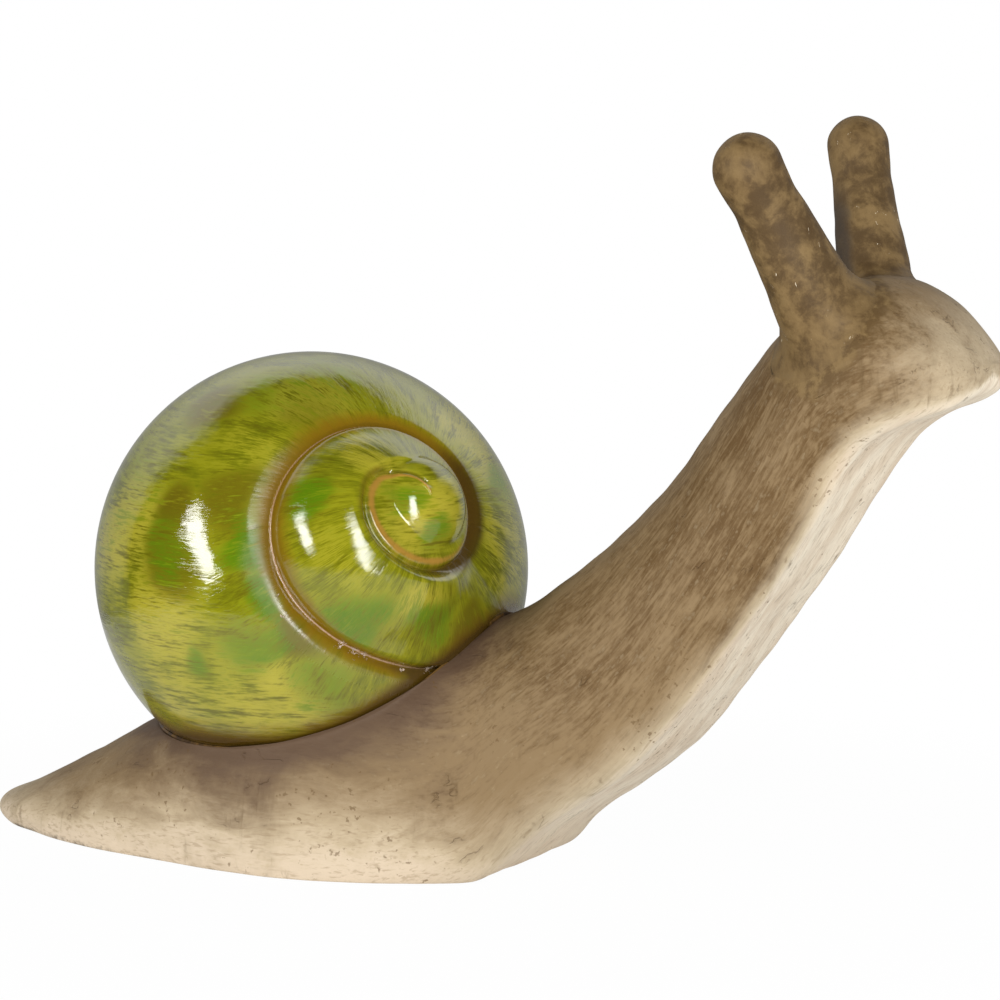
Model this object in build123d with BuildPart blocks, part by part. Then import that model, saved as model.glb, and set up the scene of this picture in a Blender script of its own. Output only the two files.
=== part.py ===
from build123d import *
import os
from dataclasses import dataclass
from math import cos, radians, sin

# Snail garden figurine, a hollow ceramic casting: foot, neck and head in one piece, a
# separately cast globe shell bedded on its back, and two tentacles luted to its head.
# Millimetres. +X is where the snail heads, +Z is up, and the origin lies under the middle
# of the figure, on the ground. Every table that ends in shares holds fractions of the
# sizes that its comment names.

# Body
body_length = 358.0
crown_height = 195.5
foot_width = 113.0
body_wall = 6.0
sole_vent_radius = 9.0

# Shell
shell_radius = 70.8
shell_floor = 20.2
shell_wall = 5.0
shell_vent_radius = 5.0
bedding_thickness = 0.8
shell_along_share = -0.168

# Whorls on the right of the shell: a dome that swells out of the globe, a round apex on
# it, and the suture that winds in to the apex. Headings are off +X, and rises off level.
dome_heading = -41.8
dome_rise = 16.8
dome_radius = 39.5
dome_height = 9.5
dome_fillet = 18.0
apex_heading = -29.7
apex_rise = 23.4
apex_radius = 17.0
apex_height = 13.2
spiral_heading = -31.8
spiral_rise = 23.1
suture_start_angle = 49.1
suture_start_bearing = -77.0
suture_growth = 2.61
suture_oval = 0.05
suture_oval_turn = 0.089
suture_start_turn = -0.10
suture_end_turn = 1.66
suture_runout_turns = 0.16
suture_sections = 26
suture_least_depth = 1.2

# Tentacles
tentacle_length = 63.7
tentacle_root_radius = 12.8
tentacle_waist_radius = 9.6
tentacle_waist_share = 0.68
tentacle_bulb_radius = 10.4
tentacle_root_shares = (0.3637, 0.950)
tentacle_spread = 42.4
tentacle_lean_out = 23.6
tentacle_lean_back = 19.2
socket_depth = 10.0
luting_gap = 0.3
collar_reach = 3.2
collar_thickness = 1.6
collar_height = 9.0

# One overrun for every cut that passes through a face.
overrun = 2.0


@dataclass(frozen=True)
class Station:
    """One cross section of the body.

    The section stands on a belly point and leans to a back point, both in the middle
    plane. Places along are shares of the body length, heights are shares of the crown
    height, and widths are shares of the foot width. Waist is where up the section it is
    widest, and shoulder is how full it is above that.
    """

    belly_along: float
    belly_up: float
    back_along: float
    back_up: float
    half_width: float
    belly_half_width: float
    waist: float
    shoulder: float


tail_shares = (
    Station(-0.500, 0.010, -0.500, 0.027, 0.036, 0.010, 0.45, 0.55),
    Station(-0.487, 0.002, -0.490, 0.041, 0.093, 0.045, 0.40, 0.55),
    Station(-0.455, -0.010, -0.458, 0.067, 0.205, 0.130, 0.42, 0.52),
    Station(-0.400, -0.014, -0.402, 0.118, 0.302, 0.250, 0.32, 0.50),
    Station(-0.330, -0.016, -0.330, 0.190, 0.385, 0.345, 0.24, 0.54),
)
foot_shares = (
    Station(-0.245, -0.016, -0.245, 0.264, 0.455, 0.418, 0.20, 0.66),
    Station(-0.155, -0.016, -0.155, 0.310, 0.500, 0.462, 0.17, 0.70),
    Station(-0.065, -0.015, -0.070, 0.360, 0.478, 0.440, 0.16, 0.66),
    Station(0.035, 0.003, 0.010, 0.406, 0.402, 0.345, 0.17, 0.56),
)
neck_shares = (
    Station(0.096, 0.073, 0.060, 0.438, 0.338, 0.256, 0.22, 0.52),
    Station(0.180, 0.190, 0.118, 0.514, 0.302, 0.212, 0.28, 0.53),
    Station(0.262, 0.365, 0.194, 0.645, 0.280, 0.195, 0.32, 0.55),
    Station(0.339, 0.565, 0.262, 0.810, 0.274, 0.186, 0.35, 0.55),
)
head_shares = (
    Station(0.388, 0.704, 0.314, 0.922, 0.290, 0.195, 0.38, 0.55),
    Station(0.420, 0.764, 0.378, 1.000, 0.318, 0.214, 0.38, 0.55),
    Station(0.448, 0.790, 0.434, 0.984, 0.297, 0.196, 0.38, 0.56),
    Station(0.474, 0.813, 0.473, 0.926, 0.220, 0.150, 0.40, 0.57),
    Station(0.492, 0.838, 0.494, 0.886, 0.124, 0.075, 0.42, 0.56),
    Station(0.499, 0.855, 0.500, 0.873, 0.040, 0.022, 0.45, 0.56),
)
body_shares = tail_shares + foot_shares + neck_shares + head_shares
hollow_shares = tail_shares[-1:] + foot_shares + neck_shares + head_shares[:1]

# How far a curve handle stands off, as a share of the quarter that it rounds.
quarter_share = 0.55

# Flanks of the suture groove, as shares of the whorl's width beside it: how far each
# flank runs, how deep the groove is, and how far the flank ends stand over the shell.
# Each flank's bulge is a share of its own span, and the outer one is hollow.
outer_flank_share = 0.26
inner_flank_share = 0.28
groove_depth_share = 0.10
flank_lift_share = 0.012
outer_bulge_share = -0.07
inner_bulge_share = 0.09


def share_point(along, up, aside):
    """Point at a share of the length and of the crown height, and so far to the side."""
    return Vector(along * body_length, aside, up * crown_height)


def body_section(station, inset):
    """Closed section of the body at one station, drawn inset by a wall thickness."""
    belly = share_point(station.belly_along, station.belly_up, 0)
    back = share_point(station.back_along, station.back_up, 0)
    rise = (back - belly).normalized()
    height = (back - belly).length - 2 * inset
    half = station.half_width * foot_width - inset
    flat = station.belly_half_width * foot_width - inset
    waist = station.waist * height
    crest = height - waist
    plane = Plane(belly + rise * inset, x_dir=(0, 1, 0), z_dir=Vector(0, 1, 0).cross(rise))
    with BuildSketch(plane) as section:
        with BuildLine():
            Line((-flat, 0), (flat, 0))
            for side in (1, -1):
                Bezier(
                    (side * flat, 0),
                    (side * (flat + quarter_share * (half - flat)), 0),
                    (side * half, waist * (1 - quarter_share)),
                    (side * half, waist),
                )
                Bezier(
                    (side * half, waist),
                    (side * half, waist + station.shoulder * crest),
                    (side * half * station.shoulder, height),
                    (0, height),
                )
        make_face()
    return section.sketch


# Outer form of the casting, which the bedding and the joints also follow
with BuildPart() as body_form:
    loft([body_section(station, 0) for station in body_shares])
    split(bisect_by=Plane.XY, keep=Keep.TOP)

# The shell's place, from its lowest point above the sole
shell_centre = Vector(shell_along_share * body_length, 0, shell_floor + shell_radius)
saddle_radius = shell_radius + bedding_thickness

# Hollow of the casting, kept a wall thickness clear of the saddle
with BuildPart() as body_hollow:
    loft([body_section(station, body_wall) for station in hollow_shares], ruled=True)
    split(bisect_by=Plane.XY.offset(body_wall), keep=Keep.TOP)
    with Locations(shell_centre):
        Sphere(saddle_radius + body_wall, mode=Mode.SUBTRACT)

# Draining vents, one through the sole and one up into the shell
with BuildPart() as vent_cut:
    with BuildSketch(Plane.XY.offset(-overrun)):
        with Locations((shell_centre.X, 0)):
            Circle(sole_vent_radius)
    extrude(amount=body_wall + 2 * overrun)
    with BuildSketch(Plane.XY.offset(body_wall)):
        with Locations((shell_centre.X, 0)):
            Circle(shell_vent_radius)
    extrude(amount=shell_centre.Z - body_wall)


# Tentacles: the right one's axis starts on the head and leans out and back
root = share_point(*tentacle_root_shares, -tentacle_spread / 2)
lean = Vector(0, 0, 1).rotate(Axis.X, tentacle_lean_out).rotate(Axis.Y, -tentacle_lean_back)
tentacle_plane = Plane(root, x_dir=(1, 0, 0), z_dir=lean)
tentacle_side = Plane(root, x_dir=tentacle_plane.x_dir, z_dir=-tentacle_plane.y_dir)
tenon_radius = tentacle_root_radius - luting_gap

with BuildPart() as tentacle_right:
    with BuildSketch(tentacle_side):
        with BuildLine():
            knob_height = tentacle_length - tentacle_bulb_radius
            waist_height = tentacle_waist_share * tentacle_length
            Line((0, -socket_depth), (tenon_radius, -socket_depth))
            Line((tenon_radius, -socket_depth), (tenon_radius, 0))
            Spline(
                (tenon_radius, 0),
                (tentacle_waist_radius, waist_height),
                (tentacle_bulb_radius, knob_height),
                tangents=((tentacle_waist_radius - tenon_radius, waist_height), (0, 1)),
            )
            RadiusArc((tentacle_bulb_radius, knob_height), (0, tentacle_length), -tentacle_bulb_radius)
            Line((0, tentacle_length), (0, -socket_depth))
        make_face()
    revolve(axis=Axis(root, lean))

with BuildPart() as tentacle_left:
    mirror(tentacle_right.part, about=Plane.XZ)

# Sockets in the head, one luting gap wider and deeper than the tentacle roots
with BuildPart() as socket_cut:
    with BuildSketch(tentacle_plane.offset(-socket_depth - luting_gap)):
        Circle(tentacle_root_radius)
    extrude(amount=socket_depth + collar_height)
    mirror(about=Plane.XZ)

with BuildPart() as body:
    add(body_form.part)
    add(body_hollow.part, mode=Mode.SUBTRACT)
    with Locations(shell_centre):
        Sphere(saddle_radius, mode=Mode.SUBTRACT)
    add(vent_cut.part, mode=Mode.SUBTRACT)
    add(socket_cut.part, mode=Mode.SUBTRACT)

# Slip bed between the shell and its saddle, flush with the casting all round
with BuildPart() as shell_bedding:
    add(body_form.part)
    with Locations(shell_centre):
        Sphere(saddle_radius, mode=Mode.INTERSECT)
        Sphere(shell_radius, mode=Mode.SUBTRACT)
    add(vent_cut.part, mode=Mode.SUBTRACT)


# Luted collar round a tentacle root: a skin of slip over the head and in the socket
with BuildPart() as swollen_head:
    loft([body_section(station, -collar_thickness) for station in neck_shares[-1:] + head_shares])

with BuildPart() as tentacle_joint_right:
    with BuildSketch(tentacle_plane.offset(-socket_depth - luting_gap)):
        Circle(tentacle_root_radius + collar_reach)
    extrude(amount=socket_depth + luting_gap + collar_height)
    add(tentacle_right.part, mode=Mode.SUBTRACT)
    add(body.part, mode=Mode.SUBTRACT)
    add(swollen_head.part, mode=Mode.INTERSECT)

with BuildPart() as tentacle_joint_left:
    mirror(tentacle_joint_right.part, about=Plane.XZ)


def shell_direction(heading, rise):
    """Unit vector from the shell's centre, from a heading off +X and a rise, in degrees."""
    level = cos(radians(rise))
    return Vector(
        level * cos(radians(heading)), level * sin(radians(heading)), sin(radians(rise))
    )


spiral_pole = shell_direction(spiral_heading, spiral_rise)
level_side = Vector(0, 0, 1).cross(spiral_pole).normalized()
upper_side = spiral_pole.cross(level_side)
dome_direction = shell_direction(dome_heading, dome_rise)
apex_direction = shell_direction(apex_heading, apex_rise)
dome_offset = shell_radius + dome_height - dome_radius
apex_offset = shell_radius + apex_height - apex_radius


def suture_angle(turn):
    """Angle between the spiral's pole and its suture, in degrees.

    It shrinks by the growth factor with each turn, and the whorls are a little oval.
    """
    oval = suture_oval * cos(radians(720 * (turn - suture_oval_turn)))
    return suture_start_angle * suture_growth**-turn * (1 - oval)


def suture_direction(turn):
    """Unit vector from the shell's centre to the suture after some turns."""
    angle = radians(suture_angle(turn))
    bearing = radians(suture_start_bearing - 360 * turn)
    sideways = level_side * cos(bearing) + upper_side * sin(bearing)
    return spiral_pole * cos(angle) + sideways * sin(angle)


def whorl_width(turn):
    """Width of the whorl inside the suture, along the globe."""
    return shell_radius * radians(suture_angle(turn)) * (1 - 1 / suture_growth)


def ball_reach(direction, ball_direction, offset, radius):
    """Distance from the shell's centre to the far side of a ball that is set off it."""
    ahead = offset * direction.dot(ball_direction)
    return ahead + max(0, radius**2 - offset**2 + ahead**2) ** 0.5


def shell_reach(direction):
    """Distance from the shell's centre to its skin, before the suture is cut."""
    dome = ball_reach(direction, dome_direction, dome_offset, dome_radius)
    apex = ball_reach(direction, apex_direction, apex_offset, apex_radius)
    return max(shell_radius, dome, apex)


def groove_section(turn):
    """Section of the suture groove: a hollow and a round flank that meet in a V.

    Its corners are given as how far in they lie from the suture and how high over it.
    """
    out = suture_direction(turn)
    step = 1 / suture_sections
    along = suture_direction(turn + step) - suture_direction(turn - step)
    inward = along.cross(out).normalized()
    if inward.dot(spiral_pole) < 0:
        inward = -inward
    whorl = whorl_width(turn)
    runout = min(turn - suture_start_turn, suture_end_turn - turn)
    fade = min(1, runout / suture_runout_turns)
    lift = flank_lift_share * whorl
    base = shell_reach(out)

    def over_skin(aside):
        """Point a little over the skin, some way in from the suture."""
        angle = aside / shell_radius
        reach = lift + shell_reach(out * cos(angle) + inward * sin(angle))
        return (reach * sin(angle), reach * cos(angle) - base)

    outer = over_skin(-outer_flank_share * whorl)
    inner = over_skin(inner_flank_share * whorl)
    bed = (0, -fade * (groove_depth_share * whorl + suture_least_depth) + lift * (1 - fade))
    top = dome_height + apex_height
    plane = Plane(shell_centre + out * base, x_dir=inward, z_dir=inward.cross(out))
    with BuildSketch(plane) as section:
        with BuildLine():
            SagittaArc(outer, bed, outer_bulge_share * -outer[0])
            SagittaArc(bed, inner, inner_bulge_share * inner[0])
            Polyline(inner, (inner[0], top), (outer[0], top), outer)
        make_face()
    return section.sketch


# Suture, from where the body hides it to its hook by the apex
with BuildPart() as suture_cut:
    turns = suture_end_turn - suture_start_turn
    loft(
        [
            groove_section(suture_start_turn + turns * number / (suture_sections - 1))
            for number in range(suture_sections)
        ]
    )

# Deepest that the suture bites into the globe, which the hollow keeps clear of
deepest_bite = groove_depth_share * whorl_width(suture_start_turn) + suture_least_depth

with BuildPart() as shell:
    with Locations(Plane(shell_centre, x_dir=(-1, 0, 0))):
        Sphere(shell_radius)
    with Locations(Plane(shell_centre + dome_direction * dome_offset, z_dir=dome_direction)):
        Sphere(dome_radius)
    fillet(shell.edges(Select.NEW), dome_fillet)
    with Locations(Plane(shell_centre + apex_direction * apex_offset, z_dir=apex_direction)):
        Sphere(apex_radius)
    add(suture_cut.part, mode=Mode.SUBTRACT)
    with Locations(shell_centre - Vector(deepest_bite / 2, 0, 0)):
        Sphere(shell_radius - deepest_bite / 2 - shell_wall, mode=Mode.SUBTRACT)
    add(vent_cut.part, mode=Mode.SUBTRACT)

os.makedirs("parts", exist_ok=True)
pieces = {
    "body": body,
    "shell": shell,
    "shell_bedding": shell_bedding,
    "tentacle_right": tentacle_right,
    "tentacle_left": tentacle_left,
    "tentacle_joint_right": tentacle_joint_right,
    "tentacle_joint_left": tentacle_joint_left,
}
for piece_name, piece in pieces.items():
    piece.part.label = piece_name
    export_step(piece.part, f"parts/{piece_name}.step")
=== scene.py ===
"""Dressed model of a ceramic snail garden figurine.

The body, the shell, the tentacles and their joints are surfaces worked out on grids in
metres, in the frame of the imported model: +X towards the head, +Z up, the ground at zero.
"""

import logging
import math
from dataclasses import dataclass, field
from enum import Enum
from typing import Any

import bpy
import numpy as np
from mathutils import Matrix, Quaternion, Vector


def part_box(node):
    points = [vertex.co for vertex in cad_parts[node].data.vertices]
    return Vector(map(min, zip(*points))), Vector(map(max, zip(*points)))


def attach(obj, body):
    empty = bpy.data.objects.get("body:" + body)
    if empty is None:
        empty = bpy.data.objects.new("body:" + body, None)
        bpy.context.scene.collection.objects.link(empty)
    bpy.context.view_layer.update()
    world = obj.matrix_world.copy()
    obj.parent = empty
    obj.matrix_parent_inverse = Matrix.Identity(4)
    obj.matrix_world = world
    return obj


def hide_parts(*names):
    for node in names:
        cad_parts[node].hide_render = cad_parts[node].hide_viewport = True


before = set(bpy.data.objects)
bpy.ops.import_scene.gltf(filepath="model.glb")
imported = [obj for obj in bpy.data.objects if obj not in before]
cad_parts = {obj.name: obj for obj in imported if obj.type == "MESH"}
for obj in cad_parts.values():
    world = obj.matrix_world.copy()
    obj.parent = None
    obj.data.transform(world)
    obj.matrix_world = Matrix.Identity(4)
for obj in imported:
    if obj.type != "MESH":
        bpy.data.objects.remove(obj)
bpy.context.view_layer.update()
logger = logging.getLogger("snail")

MM = 0.001
Colour = tuple[float, float, float]


class Side(Enum):
    """The snail's own right and left, as the sign of Y."""

    RIGHT = -1
    LEFT = 1


def smooth_step(values: np.ndarray, low: float, high: float) -> np.ndarray:
    """Goes from 0 at low to 1 at high with level ends: 3t^2 - 2t^3.

    Args:
        values: Numbers of any shape.
        low: Value where the result leaves 0. It may be the larger of the two.
        high: Value where the result reaches 1.

    Returns:
        An array of the same shape, between 0 and 1.
    """
    t = np.clip((values - low) / (high - low), 0.0, 1.0)
    return t * t * (3.0 - 2.0 * t)


def soft_above(values: np.ndarray, floor: float, softness: float) -> np.ndarray:
    """Larger of the values and a floor, rounded where they meet.

    It is the branch of a hyperbola: floor + (d + sqrt(d^2 + s^2)) / 2, where d is the
    height above the floor and s the softness.

    Args:
        values: Numbers of any shape.
        floor: The least value.
        softness: How far the rounding reaches, in the units of the values.

    Returns:
        An array of the same shape.
    """
    rise = values - floor
    return floor + 0.5 * (rise + np.sqrt(rise * rise + softness * softness))


def spline_through(rows: np.ndarray, places: np.ndarray) -> np.ndarray:
    """Natural cubic spline through equally spaced rows.

    Args:
        rows: One row for each knot, at places 0, 1, 2 and on.
        places: Where to read the spline, in knots.

    Returns:
        One row for each place.
    """
    count = len(rows)
    system = np.eye(count)
    inner = np.arange(1, count - 1)
    system[inner, inner] = 4.0
    system[inner, inner - 1] = 1.0
    system[inner, inner + 1] = 1.0
    bends = np.zeros_like(rows)
    bends[1:-1] = 6.0 * (rows[2:] - 2.0 * rows[1:-1] + rows[:-2])
    bends = np.linalg.solve(system, bends)
    left = np.clip(np.floor(places).astype(int), 0, count - 2)
    t = (places - left)[:, None]
    s = 1.0 - t
    line = s * rows[left] + t * rows[left + 1]
    return line + ((s**3 - s) * bends[left] + (t**3 - t) * bends[left + 1]) / 6.0


def bezier(points: list[np.ndarray], t: np.ndarray) -> np.ndarray:
    """Cubic curve of four control values: the sum of each value times its Bernstein share.

    Args:
        points: Four arrays of one column, a row for each ring.
        t: Places along the curve from 0 to 1, as one row.

    Returns:
        An array with a row for each ring and a column for each place.
    """
    s = 1.0 - t
    shares = (s**3, 3 * s * s * t, 3 * s * t * t, t**3)
    return sum(point * share for point, share in zip(points, shares))


def hand_wobble(places: np.ndarray, wave: float, seed: float) -> np.ndarray:
    """Slow uneven swell of hand-worked clay, between about -1 and 1.

    The mean of three sine waves that cross at odd angles, each with its own length near
    the given one.

    Args:
        places: Points, one to a row.
        wave: Typical wave length.
        seed: Phase that tells one piece from another.

    Returns:
        One number for each point.
    """
    x, y, z = (places / wave * 2 * math.pi).T
    first = np.sin(0.9 * x + 0.5 * y - 0.3 * z + seed)
    second = np.sin(-0.4 * x + 1.1 * y + 0.6 * z + 2.1 * seed)
    third = np.sin(0.5 * x - 0.3 * y + 1.2 * z + 3.7 * seed)
    return (first + second + third) / 3.0


def bell(offset: np.ndarray, reach: np.ndarray | float) -> np.ndarray:
    """Bell curve exp(-(offset / reach)^2)."""
    return np.exp(-((offset / reach) ** 2))


def dying_away(distance: np.ndarray, reach: float) -> np.ndarray:
    """Share that is 1 up to a distance of 0 and falls off as exp(-distance / reach)."""
    return np.exp(-np.clip(distance, 0.0, 1.0) / reach)


@dataclass(frozen=True)
class Ramp:
    """Stretch over which something sets in. Where the start is the larger, it runs down."""

    start: float
    end: float
    amount: float = 1.0

    def rise(self, values: np.ndarray) -> np.ndarray:
        """From 0 at the start to the amount at the end."""
        return self.amount * smooth_step(values, self.start, self.end)

    def fall(self, values: np.ndarray) -> np.ndarray:
        """From 1 at the start, less by the amount at the end."""
        return 1.0 - self.rise(values)


@dataclass(frozen=True)
class HandSwell:
    """One size of the unevenness that the hand leaves in clay."""

    height: float
    wave: float
    seed: float

    def over(self, points: np.ndarray, phase: float) -> np.ndarray:
        """Swell at each point. The phase tells the two sides of the figure apart."""
        return self.height * hand_wobble(points, self.wave, self.seed * phase)


def smooth_piece(
    name: str, points: np.ndarray, faces: list[list[int]], marks: dict[str, np.ndarray]
) -> bpy.types.Object:
    """Makes a smooth-shaded object and links it to the scene.

    Args:
        name: Name of the object.
        points: Points, one to a row.
        faces: Point numbers of each face, in order round it.
        marks: Values or vectors, one row for each point, stored as attributes.

    Returns:
        The object.
    """
    mesh = bpy.data.meshes.new(name)
    mesh.from_pydata(points, [], faces)
    mesh.polygons.foreach_set("use_smooth", np.ones(len(mesh.polygons), bool))
    for mark, rows in marks.items():
        kind, socket = ("FLOAT", "value") if rows.shape[1] == 1 else ("FLOAT_VECTOR", "vector")
        attribute = mesh.attributes.new(mark, kind, "POINT")
        attribute.data.foreach_set(socket, rows.astype(np.float32).ravel())
    mesh.validate()
    mesh.update()
    piece = bpy.data.objects.new(name, mesh)
    bpy.context.scene.collection.objects.link(piece)
    return piece


def grid_mesh(
    name: str,
    grid: np.ndarray,
    poles: tuple[np.ndarray, np.ndarray],
    marks: dict[str, np.ndarray],
) -> bpy.types.Object:
    """Closed smooth surface from rings of points and a pole at each end.

    Args:
        name: Name of the object.
        grid: Points by ring and place round the ring, which closes on itself.
        poles: Points that close the first and the last ring.
        marks: Values or vectors for each grid point, stored as attributes. A pole takes
            the mean of its ring.

    Returns:
        The new object, with its faces outwards.
    """
    rings, around = grid.shape[:2]
    index = np.arange(rings * around).reshape(rings, around)
    turned = np.roll(index, -1, axis=1)
    walls = np.stack([index[:-1], turned[:-1], turned[1:], index[1:]], axis=-1)
    start, end = rings * around, rings * around + 1
    first = np.stack([turned[0], index[0], np.full(around, start)], axis=-1)
    last = np.stack([index[-1], turned[-1], np.full(around, end)], axis=-1)
    faces = walls.reshape(-1, 4).tolist() + first.tolist() + last.tolist()
    points = np.vstack([grid.reshape(-1, 3), poles[0], poles[1]])
    rows = {}
    for mark, values in marks.items():
        by_ring = values.reshape(rings, around, -1)
        ends = np.stack([by_ring[0].mean(axis=0), by_ring[-1].mean(axis=0)])
        rows[mark] = np.vstack([by_ring.reshape(rings * around, -1), ends])
    return smooth_piece(name, points, faces, rows)


def ring_mesh(name: str, grid: np.ndarray, marks: dict[str, np.ndarray]) -> bpy.types.Object:
    """Smooth ring of quads: the grid closes on itself both round the ring and round its section.

    Args:
        name: Name of the object.
        grid: Points by place round the section and place round the ring.
        marks: Values for each grid point, stored as attributes.

    Returns:
        The new object.
    """
    rows, around = grid.shape[:2]
    index = np.arange(rows * around).reshape(rows, around)
    turned = np.roll(index, -1, axis=1)
    below, turned_below = np.roll(index, -1, axis=0), np.roll(turned, -1, axis=0)
    walls = np.stack([index, below, turned_below, turned], axis=-1).reshape(-1, 4)
    flat = {mark: values.reshape(rows * around, -1) for mark, values in marks.items()}
    return smooth_piece(name, grid.reshape(-1, 3), walls.tolist(), flat)


def grid_normals(grid: np.ndarray) -> np.ndarray:
    """Unit normals of a ring grid: the cross product of its two neighbour differences.

    Args:
        grid: Points by ring and place round the ring, which closes on itself.

    Returns:
        An array of the grid's shape, pointing outwards.
    """
    round_step = np.roll(grid, -1, axis=1) - np.roll(grid, 1, axis=1)
    ring_step = np.gradient(grid, axis=0)
    normals = np.cross(round_step, ring_step)
    lengths = np.linalg.norm(normals, axis=-1, keepdims=True)
    return normals / np.maximum(lengths, 1e-12)


def uneven(
    grid: np.ndarray, swells: tuple[HandSwell, ...], phase: float = 1.0, share: Any = 1.0
) -> np.ndarray:
    """Moves a ring grid along its normals by the swells of hand-worked clay.

    Args:
        grid: Points by ring and place round the ring, which closes on itself.
        swells: The sizes of unevenness, which add up.
        phase: Factor on their seeds.
        share: How much of them shows, as one number or one for each grid point.

    Returns:
        The moved grid.
    """
    flat = grid.reshape(-1, 3)
    height = sum(swell.over(flat, phase) for swell in swells).reshape(grid.shape[:2])
    return grid + grid_normals(grid) * (height * share)[..., None]


@dataclass(frozen=True)
class Station:
    """One cross section of the body, as shares of its length, height and width.

    It stands on a belly point and leans to a back point. Waist is where up the section
    it is widest, and shoulder is how full it is above that.
    """

    belly_along: float
    belly_up: float
    back_along: float
    back_up: float
    half_width: float
    belly_half_width: float
    waist: float
    shoulder: float


BODY_SHARES = (
    Station(-0.500, 0.015, -0.500, 0.022, 0.014, 0.005, 0.45, 0.55),
    Station(-0.497, 0.009, -0.497, 0.029, 0.050, 0.018, 0.45, 0.55),
    Station(-0.487, 0.002, -0.490, 0.042, 0.100, 0.048, 0.40, 0.55),
    Station(-0.455, -0.010, -0.458, 0.067, 0.205, 0.130, 0.42, 0.52),
    Station(-0.400, -0.014, -0.402, 0.118, 0.302, 0.250, 0.32, 0.50),
    Station(-0.330, -0.016, -0.330, 0.190, 0.385, 0.345, 0.24, 0.54),
    Station(-0.245, -0.016, -0.245, 0.264, 0.455, 0.418, 0.20, 0.66),
    Station(-0.155, -0.016, -0.155, 0.310, 0.500, 0.462, 0.17, 0.70),
    Station(-0.065, -0.015, -0.070, 0.360, 0.478, 0.440, 0.16, 0.66),
    Station(0.040, -0.003, 0.010, 0.406, 0.374, 0.292, 0.20, 0.60),
    Station(0.093, 0.076, 0.060, 0.438, 0.334, 0.236, 0.24, 0.54),
    Station(0.179, 0.190, 0.118, 0.514, 0.302, 0.206, 0.30, 0.53),
    Station(0.262, 0.365, 0.194, 0.645, 0.280, 0.195, 0.32, 0.55),
    Station(0.339, 0.565, 0.262, 0.810, 0.274, 0.186, 0.35, 0.55),
    Station(0.387, 0.706, 0.314, 0.922, 0.290, 0.195, 0.38, 0.55),
    Station(0.419, 0.766, 0.378, 1.000, 0.318, 0.214, 0.38, 0.55),
    Station(0.448, 0.792, 0.434, 0.985, 0.297, 0.196, 0.38, 0.56),
    Station(0.475, 0.813, 0.473, 0.925, 0.220, 0.150, 0.40, 0.57),
    Station(0.491, 0.831, 0.492, 0.886, 0.130, 0.075, 0.42, 0.56),
    Station(0.497, 0.847, 0.498, 0.875, 0.050, 0.024, 0.45, 0.56),
)


class Tint(Enum):
    """Glaze colours that lie in patches on the shell."""

    GREEN = "green"
    GOLD = "gold"
    UMBER = "umber"


@dataclass(frozen=True)
class Patch:
    """Soft patch of one glaze colour, by its heading and rise off the shell's centre."""

    tint: Tint
    heading: float
    rise: float
    reach: float
    strength: float = 1.0


GLAZE_PATCHES = (
    Patch(Tint.GREEN, -79.7, 12.6, 8.0, 0.9),
    Patch(Tint.GREEN, -71.0, 2.0, 5.0, 0.8),
    Patch(Tint.GREEN, -75.1, -10.6, 8.0, 0.55),
    Patch(Tint.GREEN, -59.3, -23.2, 9.0, 0.45),
    Patch(Tint.GREEN, -94.3, -17.7, 4.0, 0.7),
    Patch(Tint.GREEN, -102.0, 12.0, 7.0, 0.6),
    Patch(Tint.GREEN, -75.4, 62.2, 12.0, 0.35),
    Patch(Tint.GOLD, -60.0, 58.0, 12.0, 0.6),
    Patch(Tint.GOLD, -122.0, 14.0, 15.0, 0.7),
    Patch(Tint.GOLD, 2.0, 8.0, 12.0, 0.6),
    Patch(Tint.GREEN, -47.4, 68.1, 12.0, 0.3),
    Patch(Tint.GREEN, -129.0, 27.5, 14.0, 0.2),
    Patch(Tint.GREEN, -62.4, 25.9, 5.0, 0.85),
    Patch(Tint.GREEN, -49.1, -4.4, 7.0, 0.6),
    Patch(Tint.GREEN, -30.2, -5.1, 6.0, 0.7),
    Patch(Tint.GREEN, -38.3, 23.9, 5.0, 0.7),
    Patch(Tint.GREEN, -28.5, 13.1, 4.0, 0.7),
    Patch(Tint.GREEN, 13.0, 26.2, 10.0, 0.4),
    Patch(Tint.GREEN, 120.0, 20.0, 16.0, 0.6),
    Patch(Tint.GREEN, 70.0, 0.0, 12.0, 0.6),
    Patch(Tint.GOLD, -104.8, -8.0, 13.0, 0.8),
    Patch(Tint.GOLD, -104.4, -29.7, 12.0, 0.7),
    Patch(Tint.GOLD, -73.6, -30.1, 14.0, 0.9),
    Patch(Tint.GOLD, -80.0, 40.0, 10.0, 0.3),
    Patch(Tint.GOLD, -56.6, 11.1, 8.0, 0.3),
    Patch(Tint.GOLD, -36.1, 0.3, 6.0, 0.7),
    Patch(Tint.GOLD, -46.2, 36.5, 7.0, 0.7),
    Patch(Tint.GOLD, -33.0, 20.0, 11.0, 0.85),
    Patch(Tint.GOLD, 7.9, 39.1, 10.0, 0.7),
    Patch(Tint.GOLD, 95.0, 30.0, 16.0, 0.7),
    Patch(Tint.GOLD, 60.0, -25.0, 14.0, 0.7),
    Patch(Tint.UMBER, -102.5, 22.0, 8.0, 0.9),
    Patch(Tint.UMBER, -101.0, 8.0, 9.0, 0.7),
    Patch(Tint.UMBER, -84.0, 27.0, 9.0, 0.7),
    Patch(Tint.UMBER, -58.0, 52.0, 9.0, 0.5),
    Patch(Tint.UMBER, -110.0, 52.9, 8.0, 0.8),
    Patch(Tint.UMBER, -16.6, -10.1, 7.0, 0.8),
    Patch(Tint.UMBER, -66.0, -8.0, 7.0, 0.8),
    Patch(Tint.UMBER, 100.0, -5.0, 10.0, 0.7),
)

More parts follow.
